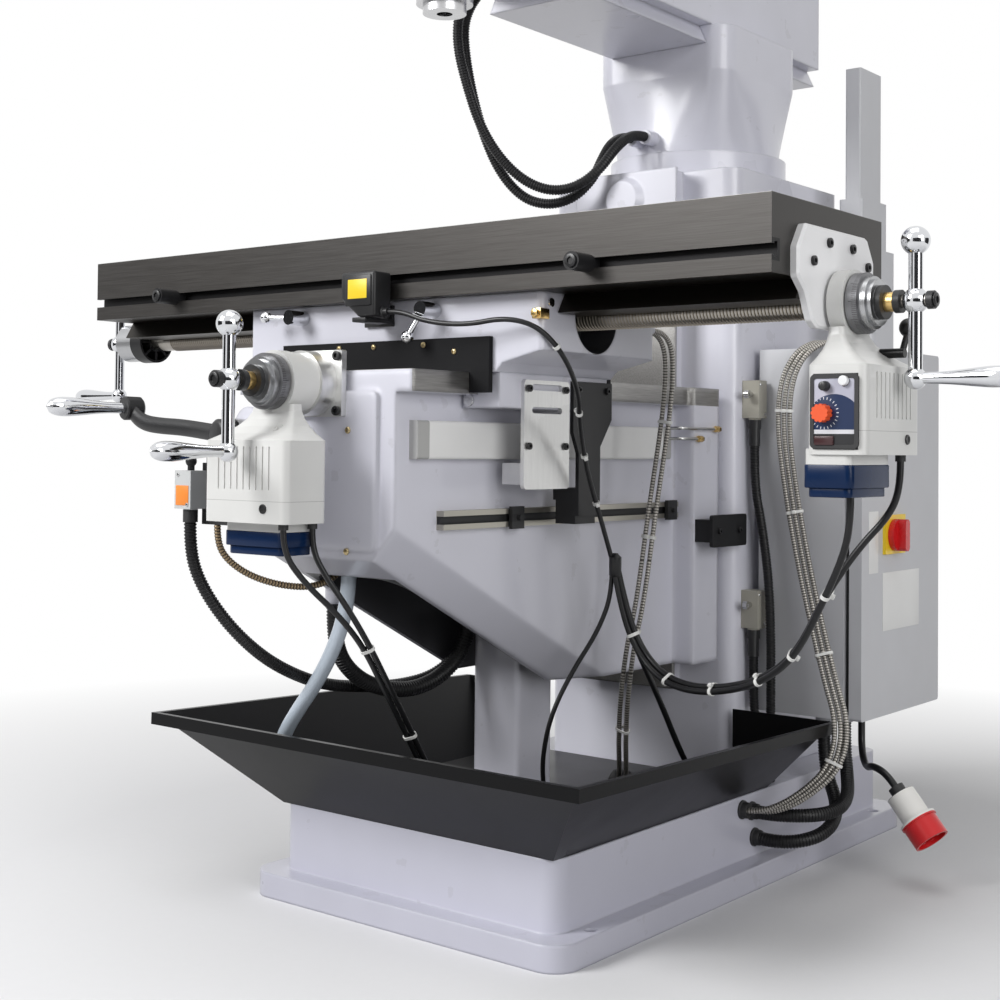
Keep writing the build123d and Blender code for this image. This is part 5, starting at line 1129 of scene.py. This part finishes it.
def panel_field(x, y, z):
    """Arched field of a feed panel."""
    return (from_point(x, z, 0.681, 0.727) < 0.0375) * (z > 0.7225)


def panel_marks(x, y, z):
    """Plain marks round the speed knob, inside the field."""
    share = (z - KNOB_Z).angle_to(x - KNOB_X) / (2 * math.pi) + 1
    ring = from_point(x, z, KNOB_X, KNOB_Z).between(0.0162, 0.0192)
    return ((share * 24) % 1 < 0.22) * ring * panel_field(x, y, z)


PANEL_PRINT = [
    (panel_field, (0.008, 0.022, 0.075), 0.3, 0.0),
    (panel_marks, (0.62, 0.64, 0.68), 0.4, 0.0),
    (lambda x, y, z: x.between(0.6535, 0.7085) * z.between(0.7175, 0.7225), (0.66, 0.66, 0.7), 0.4, 0.0),
    (lambda x, y, z: z < 0.7175, (0.018, 0.018, 0.02), 0.4, 0.0),
]
PANEL_GREY = (0.42, 0.42, 0.5)
# Height and radius of turned fittings in millimetres
TRIMMER_KNOB = [(0, 0), (0, 6.2), (8, 5.6), (9.2, 5.2), (9.8, 4.2), (9.8, 0)]
FUSE_CAP = [(-0.5, 0), (-0.5, 6.2), (1.4, 6.2), (2.2, 5.4), (2.2, 3.8), (1.2, 3.4), (1.2, 0)]
TO_CROSS_FEED = Matrix(
    ((0, 1, 0, 0), (-1, 0, 0, CROSS_FEED_BACK), (0, 0, 1, -CROSS_FEED_DROP), (0, 0, 0, 1))
)


class MILL_OT_feed_panels(Operator):
    """Panel faces of the feed units with their trimmer knob and rocker, motor caps and fuse caps"""

    bl_idname = "mill.feed_panels"
    bl_label = "Feed panels"

    def execute(self, context):
        colours = context.scene.mill_colours
        black = (moulded("black panel knob", (0.013, 0.013, 0.014), 0.36), "black_plastic")
        white = (moulded("white collar moulding", colours.housing, 0.32), "feed_white")
        smoked = (moulded("smoked rocker", (0.05, 0.018, 0.02), 0.22), "black_plastic")
        navy = (moulded("navy cap moulding", colours.cap, 0.26, 500.0, 0.05, shine=0.18), "feed_blue")
        units = [
            ("table", "table", Matrix.Identity(4), as_it_is, "x_feed_motor_cap", (637, -76, 642)),
            ("cross", "knee", TO_CROSS_FEED, on_cross_feed, "y_feed_motor_cap", (634, -62, 650)),
        ]
        for unit, body, place, where, node, cap_corner in units:
            face = slab(mm(652, -80.7, 702), mm(710, -79.9, 786), 0.0003)
            face = cut(face, bar(mm(694, -90, 780), mm(694, -70, 780), 0.0068))
            printed = zoned(f"{unit} feed panel print", PANEL_GREY, 0.4, PANEL_PRINT, where=where)
            knob = turned(outward(mm(670, -80.6, 774), FRONT), TRIMMER_KNOB, 20)
            knob = cut(knob, slab(mm(669.5, -91, 774), mm(670.5, -89.8, 780)))
            rocker = slab(mm(656, -83.4, 704), mm(681, -80.5, 715), 0.0012, 3)
            cap, collar = self.motor_cap(*cap_corner)
            fuse = turned(outward(mm(720, 38, 712), X_SIDE), FUSE_CAP, 28)
            fittings = [
                (collar, "motor_collar", *white),
                (fuse, "fuse_cap", *black),
                (cap, "motor_cap", *navy),
                (face, "panel_face", printed, "feed_blue"),
                (knob, "trimmer_knob", *black),
                (rocker, "rocker", *smoked),
            ]
            for piece, name, material, slot in fittings:
                piece.data.transform(place)
                fit(piece, f"{unit}_feed_{name}", body, material, slot)
            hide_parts(node)
        return {"FINISHED"}

    def motor_cap(self, left, near, low):
        """Stepped cap below a feed unit, and the collar above it."""
        right, far, top = left + 64, near + 112, 681
        corner = 0.009
        deep = upright_rounded(slab(mm(left, near, low + 11), mm(right, far, top)), corner)
        foot = upright_rounded(slab(mm(left + 4, near + 4, low), mm(right - 4, far - 4, low + 12)), corner)
        collar = upright_rounded(slab(mm(left + 1, near + 1, top), mm(right - 1, far - 1, 700)), corner)
        return joined([bevelled(deep, 0.0015), bevelled(foot, 0.0015)]), collar


def screws(name, pattern, out, points, body, material, slot):
    """Like screws at several points on faces that look one way, as one piece."""
    up = FRONT if abs(out.z) > 0.9 else UP
    places = [outward(mm(*point), out, up) for point in points]
    return fit(copies(pattern, places), name, body, material, slot)


class MILL_OT_fasteners(Operator):
    """Screws that hold brackets, plates and covers"""

    bl_idname = "mill.fasteners"
    bl_label = "Screws"

    def execute(self, context):
        blackened = moulded("blackened screw steel", (0.014, 0.014, 0.015), 0.32, 300.0, 0.05, shine=0.4)
        black = (blackened, "black_metal")
        brassy = (plated("passivated screw steel", (0.5, 0.4, 0.22), 0.26), "screw_steel")
        bright = (plated("bright slotted screw", (0.62, 0.62, 0.62), 0.2), "screw_steel")
        shield = [(646, -25, 952), (646, 39, 951), (646, -67, 926), (646, 83, 932)]
        bracket = [(x, -264, 782 + z) for x in (-44, 44) for z in (-37, 37)]
        wiper = [(-138, -133, 829), (-82, -133, 840), (-13, -133, 840), (82, -133, 840), (138, -133, 829)]
        cover = [(x, -255, z) for x in (-56, 56) for z in (556, 719)]
        gib = [(-152, -115, 762), (152, -115, 762)]
        stop = [(-434, -186, 933), (373, -186, 933)]
        reader = [(211, y, z) for y in (-58, 28) for z in (700, 780)]
        plate = [(211, 60, 782), (211, 132, 782)]
        dog = [(211, 462, 563), (211, 528, 563)]
        crank = [(-207, -326, 655), (-187, -326, 613)]
        limits = [(226, y, z + step) for z in (427, 784) for y, step in ((570, 25), (587, -25))]
        rows = [
            ("shield_screws", socket_screw(0.0062, 0.004), X_SIDE, shield, "table", *black),
            ("cross_bracket_screws", socket_screw(0.0065, 0.005), FRONT, bracket, "knee", *black),
            ("front_wiper_screws", pan_screw(0.0042), FRONT, wiper, "saddle", *brassy),
            ("knee_cover_screws", pan_screw(0.0048), FRONT, cover, "knee", *brassy),
            ("gib_screws", slotted_screw(0.0085, 0.004), FRONT, gib, "saddle", *bright),
            ("saddle_gib_screw", slotted_screw(0.0062, 0.003), X_SIDE, [(283, -107, 891)], "saddle", *bright),
            ("cross_crank_bolt", socket_screw(0.0088, 0.003), FRONT, [(0, -441, 782)], "y_screw", *black),
            ("table_crank_bolt", socket_screw(0.0088, 0.003), X_SIDE, [(771, 0, 878)], "x_screw", *black),
            ("left_crank_bolt", socket_screw(0.0088, 0.003), -X_SIDE, [(-790, 0, 878)], "x_screw", *black),
            ("stop_screws", socket_screw(0.0088, 0.003), FRONT, stop, "table", *black),
            ("reader_plate_screws", socket_screw(0.005, 0.004), X_SIDE, reader, "saddle", *black),
            ("limit_plate_screws", socket_screw(0.005, 0.004), X_SIDE, plate, "saddle", *black),
            ("trip_dog_screws", socket_screw(0.005, 0.004), X_SIDE, dog, "knee", *black),
            ("crank_switch_screws", pan_screw(0.003), FRONT, crank, "knee", *bright),
            ("limit_switch_screws", pan_screw(0.0026), X_SIDE, limits, "machine_frame", *bright),
        ]
        for row in rows:
            screws(*row)
        return {"FINISHED"}


class MILL_OT_table_thread(Operator):
    """Thread of the table screw"""

    bl_idname = "mill.table_thread"
    bl_label = "Table screw thread"

    def execute(self, context):
        sizes = context.scene.mill_sizes
        pitch, height = sizes.thread_pitch, sizes.thread_height
        start, end, root = -0.610, 0.612, 0.0159
        mesh = bpy.data.meshes.new("thread")
        shares = [(-0.3, 0.0), (-0.12, 1.0), (0.12, 1.0), (0.3, 0.0)]
        points = [(root + height * rise, 0, pitch * share) for share, rise in shares]
        mesh.from_pydata(points, [(0, 1), (1, 2), (2, 3), (3, 0)], [])
        piece = bpy.data.objects.new("thread", mesh)
        bpy.context.scene.collection.objects.link(piece)
        turns = int((end - start) / pitch)
        finished(piece, "SCREW", screw_offset=pitch, iterations=turns, steps=14, render_steps=14)
        bpy.ops.object.mode_set(mode="EDIT")
        bpy.ops.mesh.select_all(action="SELECT")
        bpy.ops.mesh.remove_doubles(threshold=1e-6)
        bpy.ops.mesh.select_all(action="DESELECT")
        bpy.ops.mesh.select_non_manifold(extend=False)
        bpy.ops.mesh.edge_face_add()
        bpy.ops.mesh.select_all(action="SELECT")
        bpy.ops.mesh.normals_make_consistent(inside=False)
        bpy.ops.object.mode_set(mode="OBJECT")
        piece.matrix_world = outward(Vector((start, 0, TABLE_SCREW_Z)), X_SIDE)
        steel = plated("thread steel", (0.3, 0.27, 0.225), 0.26, 0.12)
        fit(settle(piece), "table_screw_thread", "x_screw", steel, "screw_steel")
        return {"FINISHED"}


# Height and radius of turned fittings in millimetres
TRAY_GROMMET = [(0, 0), (0, 17), (5, 17), (14, 12.5), (19, 8.5), (20, 0)]
ENTRY_GLAND = [(-0.5, 0), (-0.5, 15), (3, 15), (4, 13), (12, 12.4), (13, 11.6), (13, 0)]
CABLE_WRAP = [(-15, 0), (-15, 7.6), (-13, 9), (13, 9.2), (16, 6), (19, 3.6), (19, 0)]
SWITCH_GLAND = [(0, 0), (0, 8), (4, 8), (5, 6.4), (12, 5.8), (12, 0)]
CRANK_HUB = [
    (0, 14.2), (0, 18.5), (1.5, 20), (22, 20), (25, 17.5), (26, 14), (26, 0), (17, 0), (17, 14.2), (0, 14.2),
]
CRANK_BOSS = [(-4, 0), (-4, 14), (-1, 17), (22, 17.5), (24, 16), (24, 0)]


class MILL_OT_small_fittings(Operator):
    """Pipes, bare plates, patches and floor grommets"""

    bl_idname = "mill.small_fittings"
    bl_label = "Small fittings"

    def execute(self, context):
        brass = plated("turned brass", BRASS, 0.22)
        bright = plated("bright steel pipe", (0.5, 0.5, 0.49), 0.2)
        pipes, nuts = [], []
        for height, end in ((732, 505), (715, 450)):
            bends = [(136.5, 392), (166, 392), (181, 396), (181, 420), (181, end)]
            line = route_line([(x, y, height) for x, y in bends])
            pipes.append(tube(line, plain_stations(line, 0.0026), 14))
            nuts.append(bar(mm(181, end - 8, height), mm(181, end + 6, height), 0.0055, 0.0006, 6))
            nuts.append(bar(mm(174.6, end + 2, height), mm(184, end + 2, height), 0.0046, 0.0006, 20))
        fit(joined(pipes), "lubrication_pipes", "knee", bright, "screw_steel")
        fit(joined(nuts), "lubrication_nuts", "knee", brass, "nut_bronze")
        block = slab(mm(274, -136, 868), mm(289, -116, 882), 0.0012)
        nut = bar(mm(282, -136, 875), mm(282, -142, 875), 0.006, 0.0005, 6)
        fit(joined([block, nut]), "saddle_oil_fitting", "saddle", brass, "nut_bronze")
        self.flats(context.scene.mill_colours.patch)
        rubber = moulded("black grommet rubber", (0.016, 0.016, 0.017), 0.55)
        spots = [(106, 148), (180, 460), (60, 395), (73, 395), (5, 68), (16, 73)]
        places = [Matrix.Translation(mm(x, y, 143)) for x, y in spots]
        grommets = copies(turned(Matrix.Identity(4), TRAY_GROMMET, 24), places)
        fit(grommets, "tray_grommets", "machine_frame", rubber, "cable_black")
        places = [outward(mm(265, y, z), X_SIDE) for y, z in ((476, 112), (486, 68), (446, 119))]
        glands = copies(turned(Matrix.Identity(4), ENTRY_GLAND, 28), places)
        fit(glands, "base_entry_glands", "machine_frame", rubber, "cable_black")
        tape = moulded("black wrapping tape", SATIN_BLACK, 0.34, 200.0, 0.2, shine=0.35)
        wrap = turned(Matrix.Translation(mm(235, 122, 526)), CABLE_WRAP, 28)
        fit(wrap, "cable_wrap", "saddle", tape, "cable_black")
        return {"FINISHED"}

    def flats(self, patch_colour):
        """Thin bare patch, plate and strip on flat faces."""
        patch = (moulded("orange bare patch", patch_colour, 0.4), "speed_orange")
        plate = (moulded("bare white plate", (0.76, 0.76, 0.75), 0.34), "plug_white")
        strip = (moulded("bare label film", (0.78, 0.78, 0.77), 0.4), "plug_white")
        rows = [
            ("crank_switch_patch", (-211, -326.6, 612), (-184, -325.9, 640), 0.0003, "knee", *patch),
            ("door_plate", (397.9, 681, 395), (398.8, 830, 493), 0.0003, "cabinet_door", *plate),
            ("door_label_strip", (397.9, 627, 494), (398.5, 663, 597), 0.0002, "cabinet_door", *strip),
        ]
        for name, low, high, edge, body, material, slot in rows:
            fit(slab(mm(*low), mm(*high), edge), name, body, material, slot)


class MILL_OT_cabinet_fittings(Operator):
    """Mounting plate in the cabinet, with what is fastened to it"""

    bl_idname = "mill.cabinet_fittings"
    bl_label = "Cabinet fittings"

    back = 213.5
    rail = 220.5
    lid = 262
    contactor_row, breaker_row, terminal_row = 752, 626, 510

    def execute(self, context):
        zinc = machined("zinc plated sheet", (0.52, 0.52, 0.5), 0.4)
        plate = slab(mm(211, 622, 276), mm(self.back, 895, 848), 0.0008)
        rails = []
        for row in (self.contactor_row, self.breaker_row, self.terminal_row):
            rails.append(slab(mm(self.back - 0.5, 662, row - 17), mm(self.rail, 855, row + 17), 0.001))
        self.fasten(joined([plate, *rails]), "mounting_plate", zinc, "screw_steel")
        grey = moulded("grey duct moulding", (0.3, 0.31, 0.32), 0.5)
        self.fasten(self.ducts(), "wiring_ducts", grey, "switch_grey")
        self.units()
        iron = moulded("black transformer iron", (0.02, 0.02, 0.022), 0.5, 120.0, 0.3)
        core = slab(mm(self.back, 700, 312), mm(276, 812, 402), 0.002)
        feet = [slab(mm(self.back, y, 300), mm(217, y + 24, 414), 0.001) for y in (704, 784)]
        self.fasten(joined([core, *feet]), "transformer", iron, "black_metal")
        tape = moulded("yellow winding tape", (0.45, 0.3, 0.07), 0.4)
        coil = upright_rounded(slab(mm(219, 722, 302), mm(292, 790, 412)), 0.012)
        self.fasten(coil, "transformer_winding", tape, "nut_bronze")
        return {"FINISHED"}

    def fasten(self, piece, name, material, slot):
        """Fits a piece that stays with the cabinet."""
        fit(piece, f"cabinet_{name}", "machine_frame", material, slot)

    def units(self):
        """Rows of like units on the rails, each made of blocks, and the contactors' screws."""
        black = (moulded("black contactor moulding", (0.014, 0.014, 0.015), 0.42), "black_plastic")
        white = (moulded("white breaker moulding", (0.66, 0.66, 0.64), 0.4), "feed_white")
        beige = (moulded("beige terminal moulding", (0.5, 0.46, 0.36), 0.45), "switch_grey")
        contactors = (690, 738, 786, 834)
        breakers = [672 + 18 * step for step in range(8)]
        terminals = [668 + 6.2 * step for step in range(29)]
        contactor = [
            ((0, -22, -38), (46, 22, 38)),
            ((45, -20, -22), (84, 20, 22)),
            ((83, -5, -7), (87, 5, 7)),
        ]
        breaker = [((0, -8.7, -42), (44, 8.7, 42)), ((43, -8.7, -23), (66, 8.7, 23))]
        toggle = [((65, -4, -3), (76, 4, 8))]
        terminal = [((0, -2.9, -26), (30, 2.9, 26)), ((29, -2.9, -14), (44, 2.9, 14))]
        rows = [
            ("contactors", self.contactor_row, contactors, contactor, *black),
            ("breakers", self.breaker_row, breakers, breaker, *white),
            ("breaker_toggles", self.breaker_row, breakers, toggle, *black),
            ("terminals", self.terminal_row, terminals, terminal, *beige),
        ]
        for name, height, places, blocks, material, slot in rows:
            unit = joined([slab(mm(*low), mm(*high), 0.0012) for low, high in blocks])
            spots = [Matrix.Translation(mm(self.rail, place, height)) for place in places]
            self.fasten(copies(unit, spots), name, material, slot)
        bright = plated("bright terminal screw", (0.5, 0.5, 0.48), 0.25)
        heights = (self.contactor_row - 30, self.contactor_row + 30)
        spots = [(266.5, y + step, z) for y in contactors for step in (-14, 0, 14) for z in heights]
        heads = copies(pan_screw(0.0042), [outward(mm(*spot), X_SIDE) for spot in spots])
        self.fasten(heads, "terminal_screws", bright, "screw_steel")

    def ducts(self):
        """Comb-sided wiring ducts with their lids, round and between the rows."""
        lid = self.lid
        pieces = []
        for near in (626, 860):
            pieces.append(slab(mm(lid - 1, near - 1, 286), mm(lid + 6, near + 31, 838), 0.0012))
            finger = slab(mm(self.back - 0.5, near, 0), mm(lid, near + 30, 4.5))
            steps = [Matrix.Translation(mm(0, 0, 290 + 8 * step)) for step in range(68)]
            pieces.append(copies(finger, steps))
        for low in (804, 680, 554, 432):
            pieces.append(slab(mm(lid - 1, 657, low - 1), mm(lid + 6, 859, low + 26), 0.0012))
            finger = slab(mm(self.back - 0.5, 0, low), mm(lid, 4.5, low + 25))
            steps = [Matrix.Translation(mm(0, 662 + 8 * step, 0)) for step in range(24)]
            pieces.append(copies(finger, steps))
        return joined(pieces)


class MILL_OT_table_switch(Operator):
    """Limit switch in front of the table, on its bracket"""

    bl_idname = "mill.table_switch"
    bl_label = "Table limit switch"

    def execute(self, context):
        body = slab(mm(-25, -190, 878), mm(40, -154, 942))
        slope = slab(mm(-60, -30, -60), mm(60, 30, 0))
        tilt = Matrix.Rotation(math.radians(38), 4, "Y")
        slope.matrix_world = Matrix.Translation(mm(-25, -172, 905)) @ tilt
        body = bevelled(cut(body, settle(slope)), 0.004, 3)
        lid = slab(mm(-14, -192.4, 894), mm(35, -189, 937), 0.0016)
        shelf = slab(mm(-6, -186, 872), mm(20, -126, 878.5), 0.001)
        plate = slab(mm(-34, -131, 869), mm(20, -124.9, 899), 0.001)
        gland = turned(outward(mm(39, -172, 885), X_SIDE), SWITCH_GLAND, 24)
        heads = copies(socket_screw(0.0045, 0.004), [outward(mm(x, -131, 886), FRONT) for x in (-26, 12)])
        whole = joined([body, lid, shelf, plate, gland, heads])
        black = moulded("black limit switch enamel", BLACK, 0.4, 500.0, 0.14, shine=0.35)
        switch = fit(whole, "limit_switch_on_bracket", "saddle", black, "switch_black")
        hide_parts("table_limit_switch")
        yellow = moulded("yellow bare patch", context.scene.mill_colours.switch_plate, 0.4)
        patch = slab(mm(-8, -192.9, 904), mm(28, -192.2, 931), 0.0002)
        fit(patch, "limit_switch_patch", "saddle", yellow, "speed_orange")
        return {"FINISHED"}


class MILL_OT_knee_crank(Operator):
    """Forged arm of the knee crank"""

    bl_idname = "mill.knee_crank"
    bl_label = "Knee crank"

    bends = [
        (-8, 0, 14), (-60, 5, 17), (-100, 9, 24), (-145, 11, 32), (-182, 15, 38), (-207, 26, 41),
        (-220, 38, 41),
    ]
    flatness = 0.68
    radius = 0.0118

    def execute(self, context):
        lean = math.radians(11.3)
        place = outward(mm(-100.72, -321.03, 713), Vector((-math.sin(lean), -math.cos(lean), 0)))
        line = route_line([(x, y, z / self.flatness) for x, y, z in self.bends])
        arm = tube(line, plain_stations(line, self.radius), 28)
        arm.matrix_world = place @ Matrix.Diagonal((1, 1, self.flatness, 1))
        hub = turned(place, CRANK_HUB)
        boss = turned(place @ Matrix.Translation(mm(-220, 37, 29)), CRANK_BOSS)
        black = moulded("forged black crank", (0.013, 0.013, 0.014), 0.4, 160.0, 0.3, shine=0.35)
        crank = fit(joined([settle(arm), hub, boss]), "knee_crank_arm", "knee_crank", black, "black_metal")
        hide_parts("knee_crank")
        return {"FINISHED"}


# The photograph's camera: turn in degrees, sensor and lens in millimetres, place in millimetres
CAMERA_TURN = (38.48146, 1.40613, 0.55159)
CAMERA_SENSOR = 36
CAMERA_LENS = 54.777
CAMERA_SHIFT = -0.08974
CAMERA_PLACE = (1488.24, -1728.7, 697.54)
LAMP_TARGET = Vector((0.1, 0.1, 0.8))
WHITE = (1, 1, 1, 1)


def aimed(place, target):
    """Turn that points a lamp or a panel from a place at a target."""
    return (target - place).to_track_quat("-Z", "Y").to_euler()


class MILL_OT_stage(Operator):
    """Pale floor, soft light and the camera"""

    bl_idname = "mill.stage"
    bl_label = "Stage"

    def execute(self, context):
        stage = context.scene.mill_stage
        context.scene.view_settings.view_transform = "Standard"
        deselect()
        bpy.ops.mesh.primitive_plane_add(size=60)
        floor = bpy.context.object
        floor.name = "floor"
        floor.data.materials.append(self.floor_finish(stage.floor))
        lamps = [
            ("key", stage.key_power, Vector((-2.0, -4.1, 3.4)), 2.4),
            ("fill", stage.fill_power, Vector((4.6, -1.7, 2.0)), 2.8),
            ("top", stage.top_power, Vector((0.4, -0.4, 4.6)), 3.0),
        ]
        for name, power, place, size in lamps:
            deselect()
            bpy.ops.object.light_add(type="AREA", location=place, rotation=aimed(place, LAMP_TARGET))
            lamp = bpy.context.object
            lamp.name = name
            lamp.data.energy = power
            lamp.data.size = size
        flags = [
            ("camera_flag", Vector((2.3, -2.7, 0.9)), (4.0, 1.7)),
            ("left_flag", Vector((-2.5, -3.3, 0.9)), (3.4, 1.6)),
            ("right_flag", Vector((3.6, 1.6, 0.9)), (2.6, 1.7)),
        ]
        dark = moulded("dark flag cloth", (0.02, 0.02, 0.022), 0.9)
        for name, place, size in flags:
            self.flag(name, place, size, dark)
        self.sky(stage.sky)
        self.camera(context.scene)
        return {"FINISHED"}

    def flag(self, name, place, size, material):
        """Dark panel beside the scene that only reflections show."""
        deselect()
        turn = aimed(place, Vector((0.2, 0.0, place.z)))
        bpy.ops.mesh.primitive_plane_add(size=1, location=place, rotation=turn)
        panel = bpy.context.object
        panel.scale = (*size, 1)
        panel.name = name
        panel.data.materials.append(material)
        panel.visible_camera = False
        panel.visible_diffuse = False
        panel.visible_transmission = False
        panel.visible_shadow = False

    def floor_finish(self, colour):
        """Pale floor that fades to white away from the machine, where the camera sees it."""
        finish = Finish("pale floor")
        x, y = finish.axes()[:2]
        away = ((x - 0.1) ** 2 + (y - 0.3) ** 2) ** 0.5
        fade = finish.node("ShaderNodeMapRange", {}, {"Value": away, "From Min": 1.0, "From Max": 2.4})
        grain = finish.noise(60.0, 2.0)
        seen = finish.background_rays()
        pale = finish.mix(grain, shade(colour, 0.98), shade(colour))
        finish.dress(Base_Color=finish.mix(seen, shade(colour, 0.5), pale), Roughness=0.8)
        white = finish.node("ShaderNodeEmission", {}, {"Color": WHITE, "Strength": 1.0})
        surface = Value(finish, finish.surface.outputs[0])
        mixed = finish.node("ShaderNodeMixShader", {}, {0: fade * seen, 1: surface, 2: white})
        finish.feed(finish.tree.nodes["Material Output"].inputs["Surface"], mixed)
        return finish.material

    def sky(self, strength):
        """White background with a dimmer, even light."""
        world = bpy.data.worlds.new("studio")
        bpy.context.scene.world = world
        world.use_nodes = True
        nodes = Nodes(world.node_tree)
        back = nodes.tree.nodes["Background"]
        nodes.feed(back.inputs["Color"], WHITE)
        nodes.feed(back.inputs["Strength"], nodes.background_rays() * (1 - strength) + strength)

    def camera(self, scene):
        """Camera at the photograph's place, with its lens and shift."""
        yaw, pitch, roll = map(math.radians, CAMERA_TURN)
        forward = Vector((-math.sin(yaw) * math.cos(pitch), math.cos(yaw) * math.cos(pitch), math.sin(pitch)))
        right = Vector((math.cos(yaw), math.sin(yaw), 0))
        above = right.cross(forward)
        leaned_right = right * math.cos(roll) + above * math.sin(roll)
        leaned_up = above * math.cos(roll) - right * math.sin(roll)
        data = bpy.data.cameras.new("camera")
        data.sensor_width = CAMERA_SENSOR
        data.lens = CAMERA_LENS
        data.shift_y = CAMERA_SHIFT
        data.clip_end = 100
        camera = bpy.data.objects.new("camera", data)
        scene.collection.objects.link(camera)
        turn = Matrix((leaned_right, leaned_up, -forward)).transposed().to_4x4()
        camera.matrix_world = Matrix.Translation(mm(*CAMERA_PLACE)) @ turn
        scene.camera = camera


GROUPS = (("mill_colours", MillColours), ("mill_sizes", MillSizes), ("mill_stage", MillStage))
STEPS = (
    MILL_OT_stage,
    MILL_OT_cables,
    MILL_OT_castings,
    MILL_OT_metalwork,
    MILL_OT_mouldings,
    MILL_OT_plug,
    MILL_OT_feed_panels,
    MILL_OT_fasteners,
    MILL_OT_table_thread,
    MILL_OT_table_switch,
    MILL_OT_knee_crank,
    MILL_OT_small_fittings,
    MILL_OT_cabinet_fittings,
)


class MILL_PT_dressing(Panel):
    """Sizes and colours, and the steps that dress the machine"""

    bl_idname = "MILL_PT_dressing"
    bl_label = "Milling machine"
    bl_space_type = "VIEW_3D"
    bl_region_type = "UI"
    bl_category = "Milling machine"

    def draw(self, context):
        for name, group in GROUPS:
            box = self.layout.box()
            for key in group.__annotations__:
                box.prop(getattr(context.scene, name), key)
        for step in STEPS:
            self.layout.operator(step.bl_idname)


def register():
    for name, group in GROUPS:
        bpy.utils.register_class(group)
        setattr(bpy.types.Scene, name, PointerProperty(type=group))
    for shown in (*STEPS, MILL_PT_dressing):
        bpy.utils.register_class(shown)


def unregister():
    for shown in reversed((*STEPS, MILL_PT_dressing)):
        bpy.utils.unregister_class(shown)
    for name, group in reversed(GROUPS):
        delattr(bpy.types.Scene, name)
        bpy.utils.unregister_class(group)


def main():
    register()
    for step in STEPS:
        group, name = step.bl_idname.split(".")
        getattr(getattr(bpy.ops, group), name)()


if __name__ == "__main__":
    main()
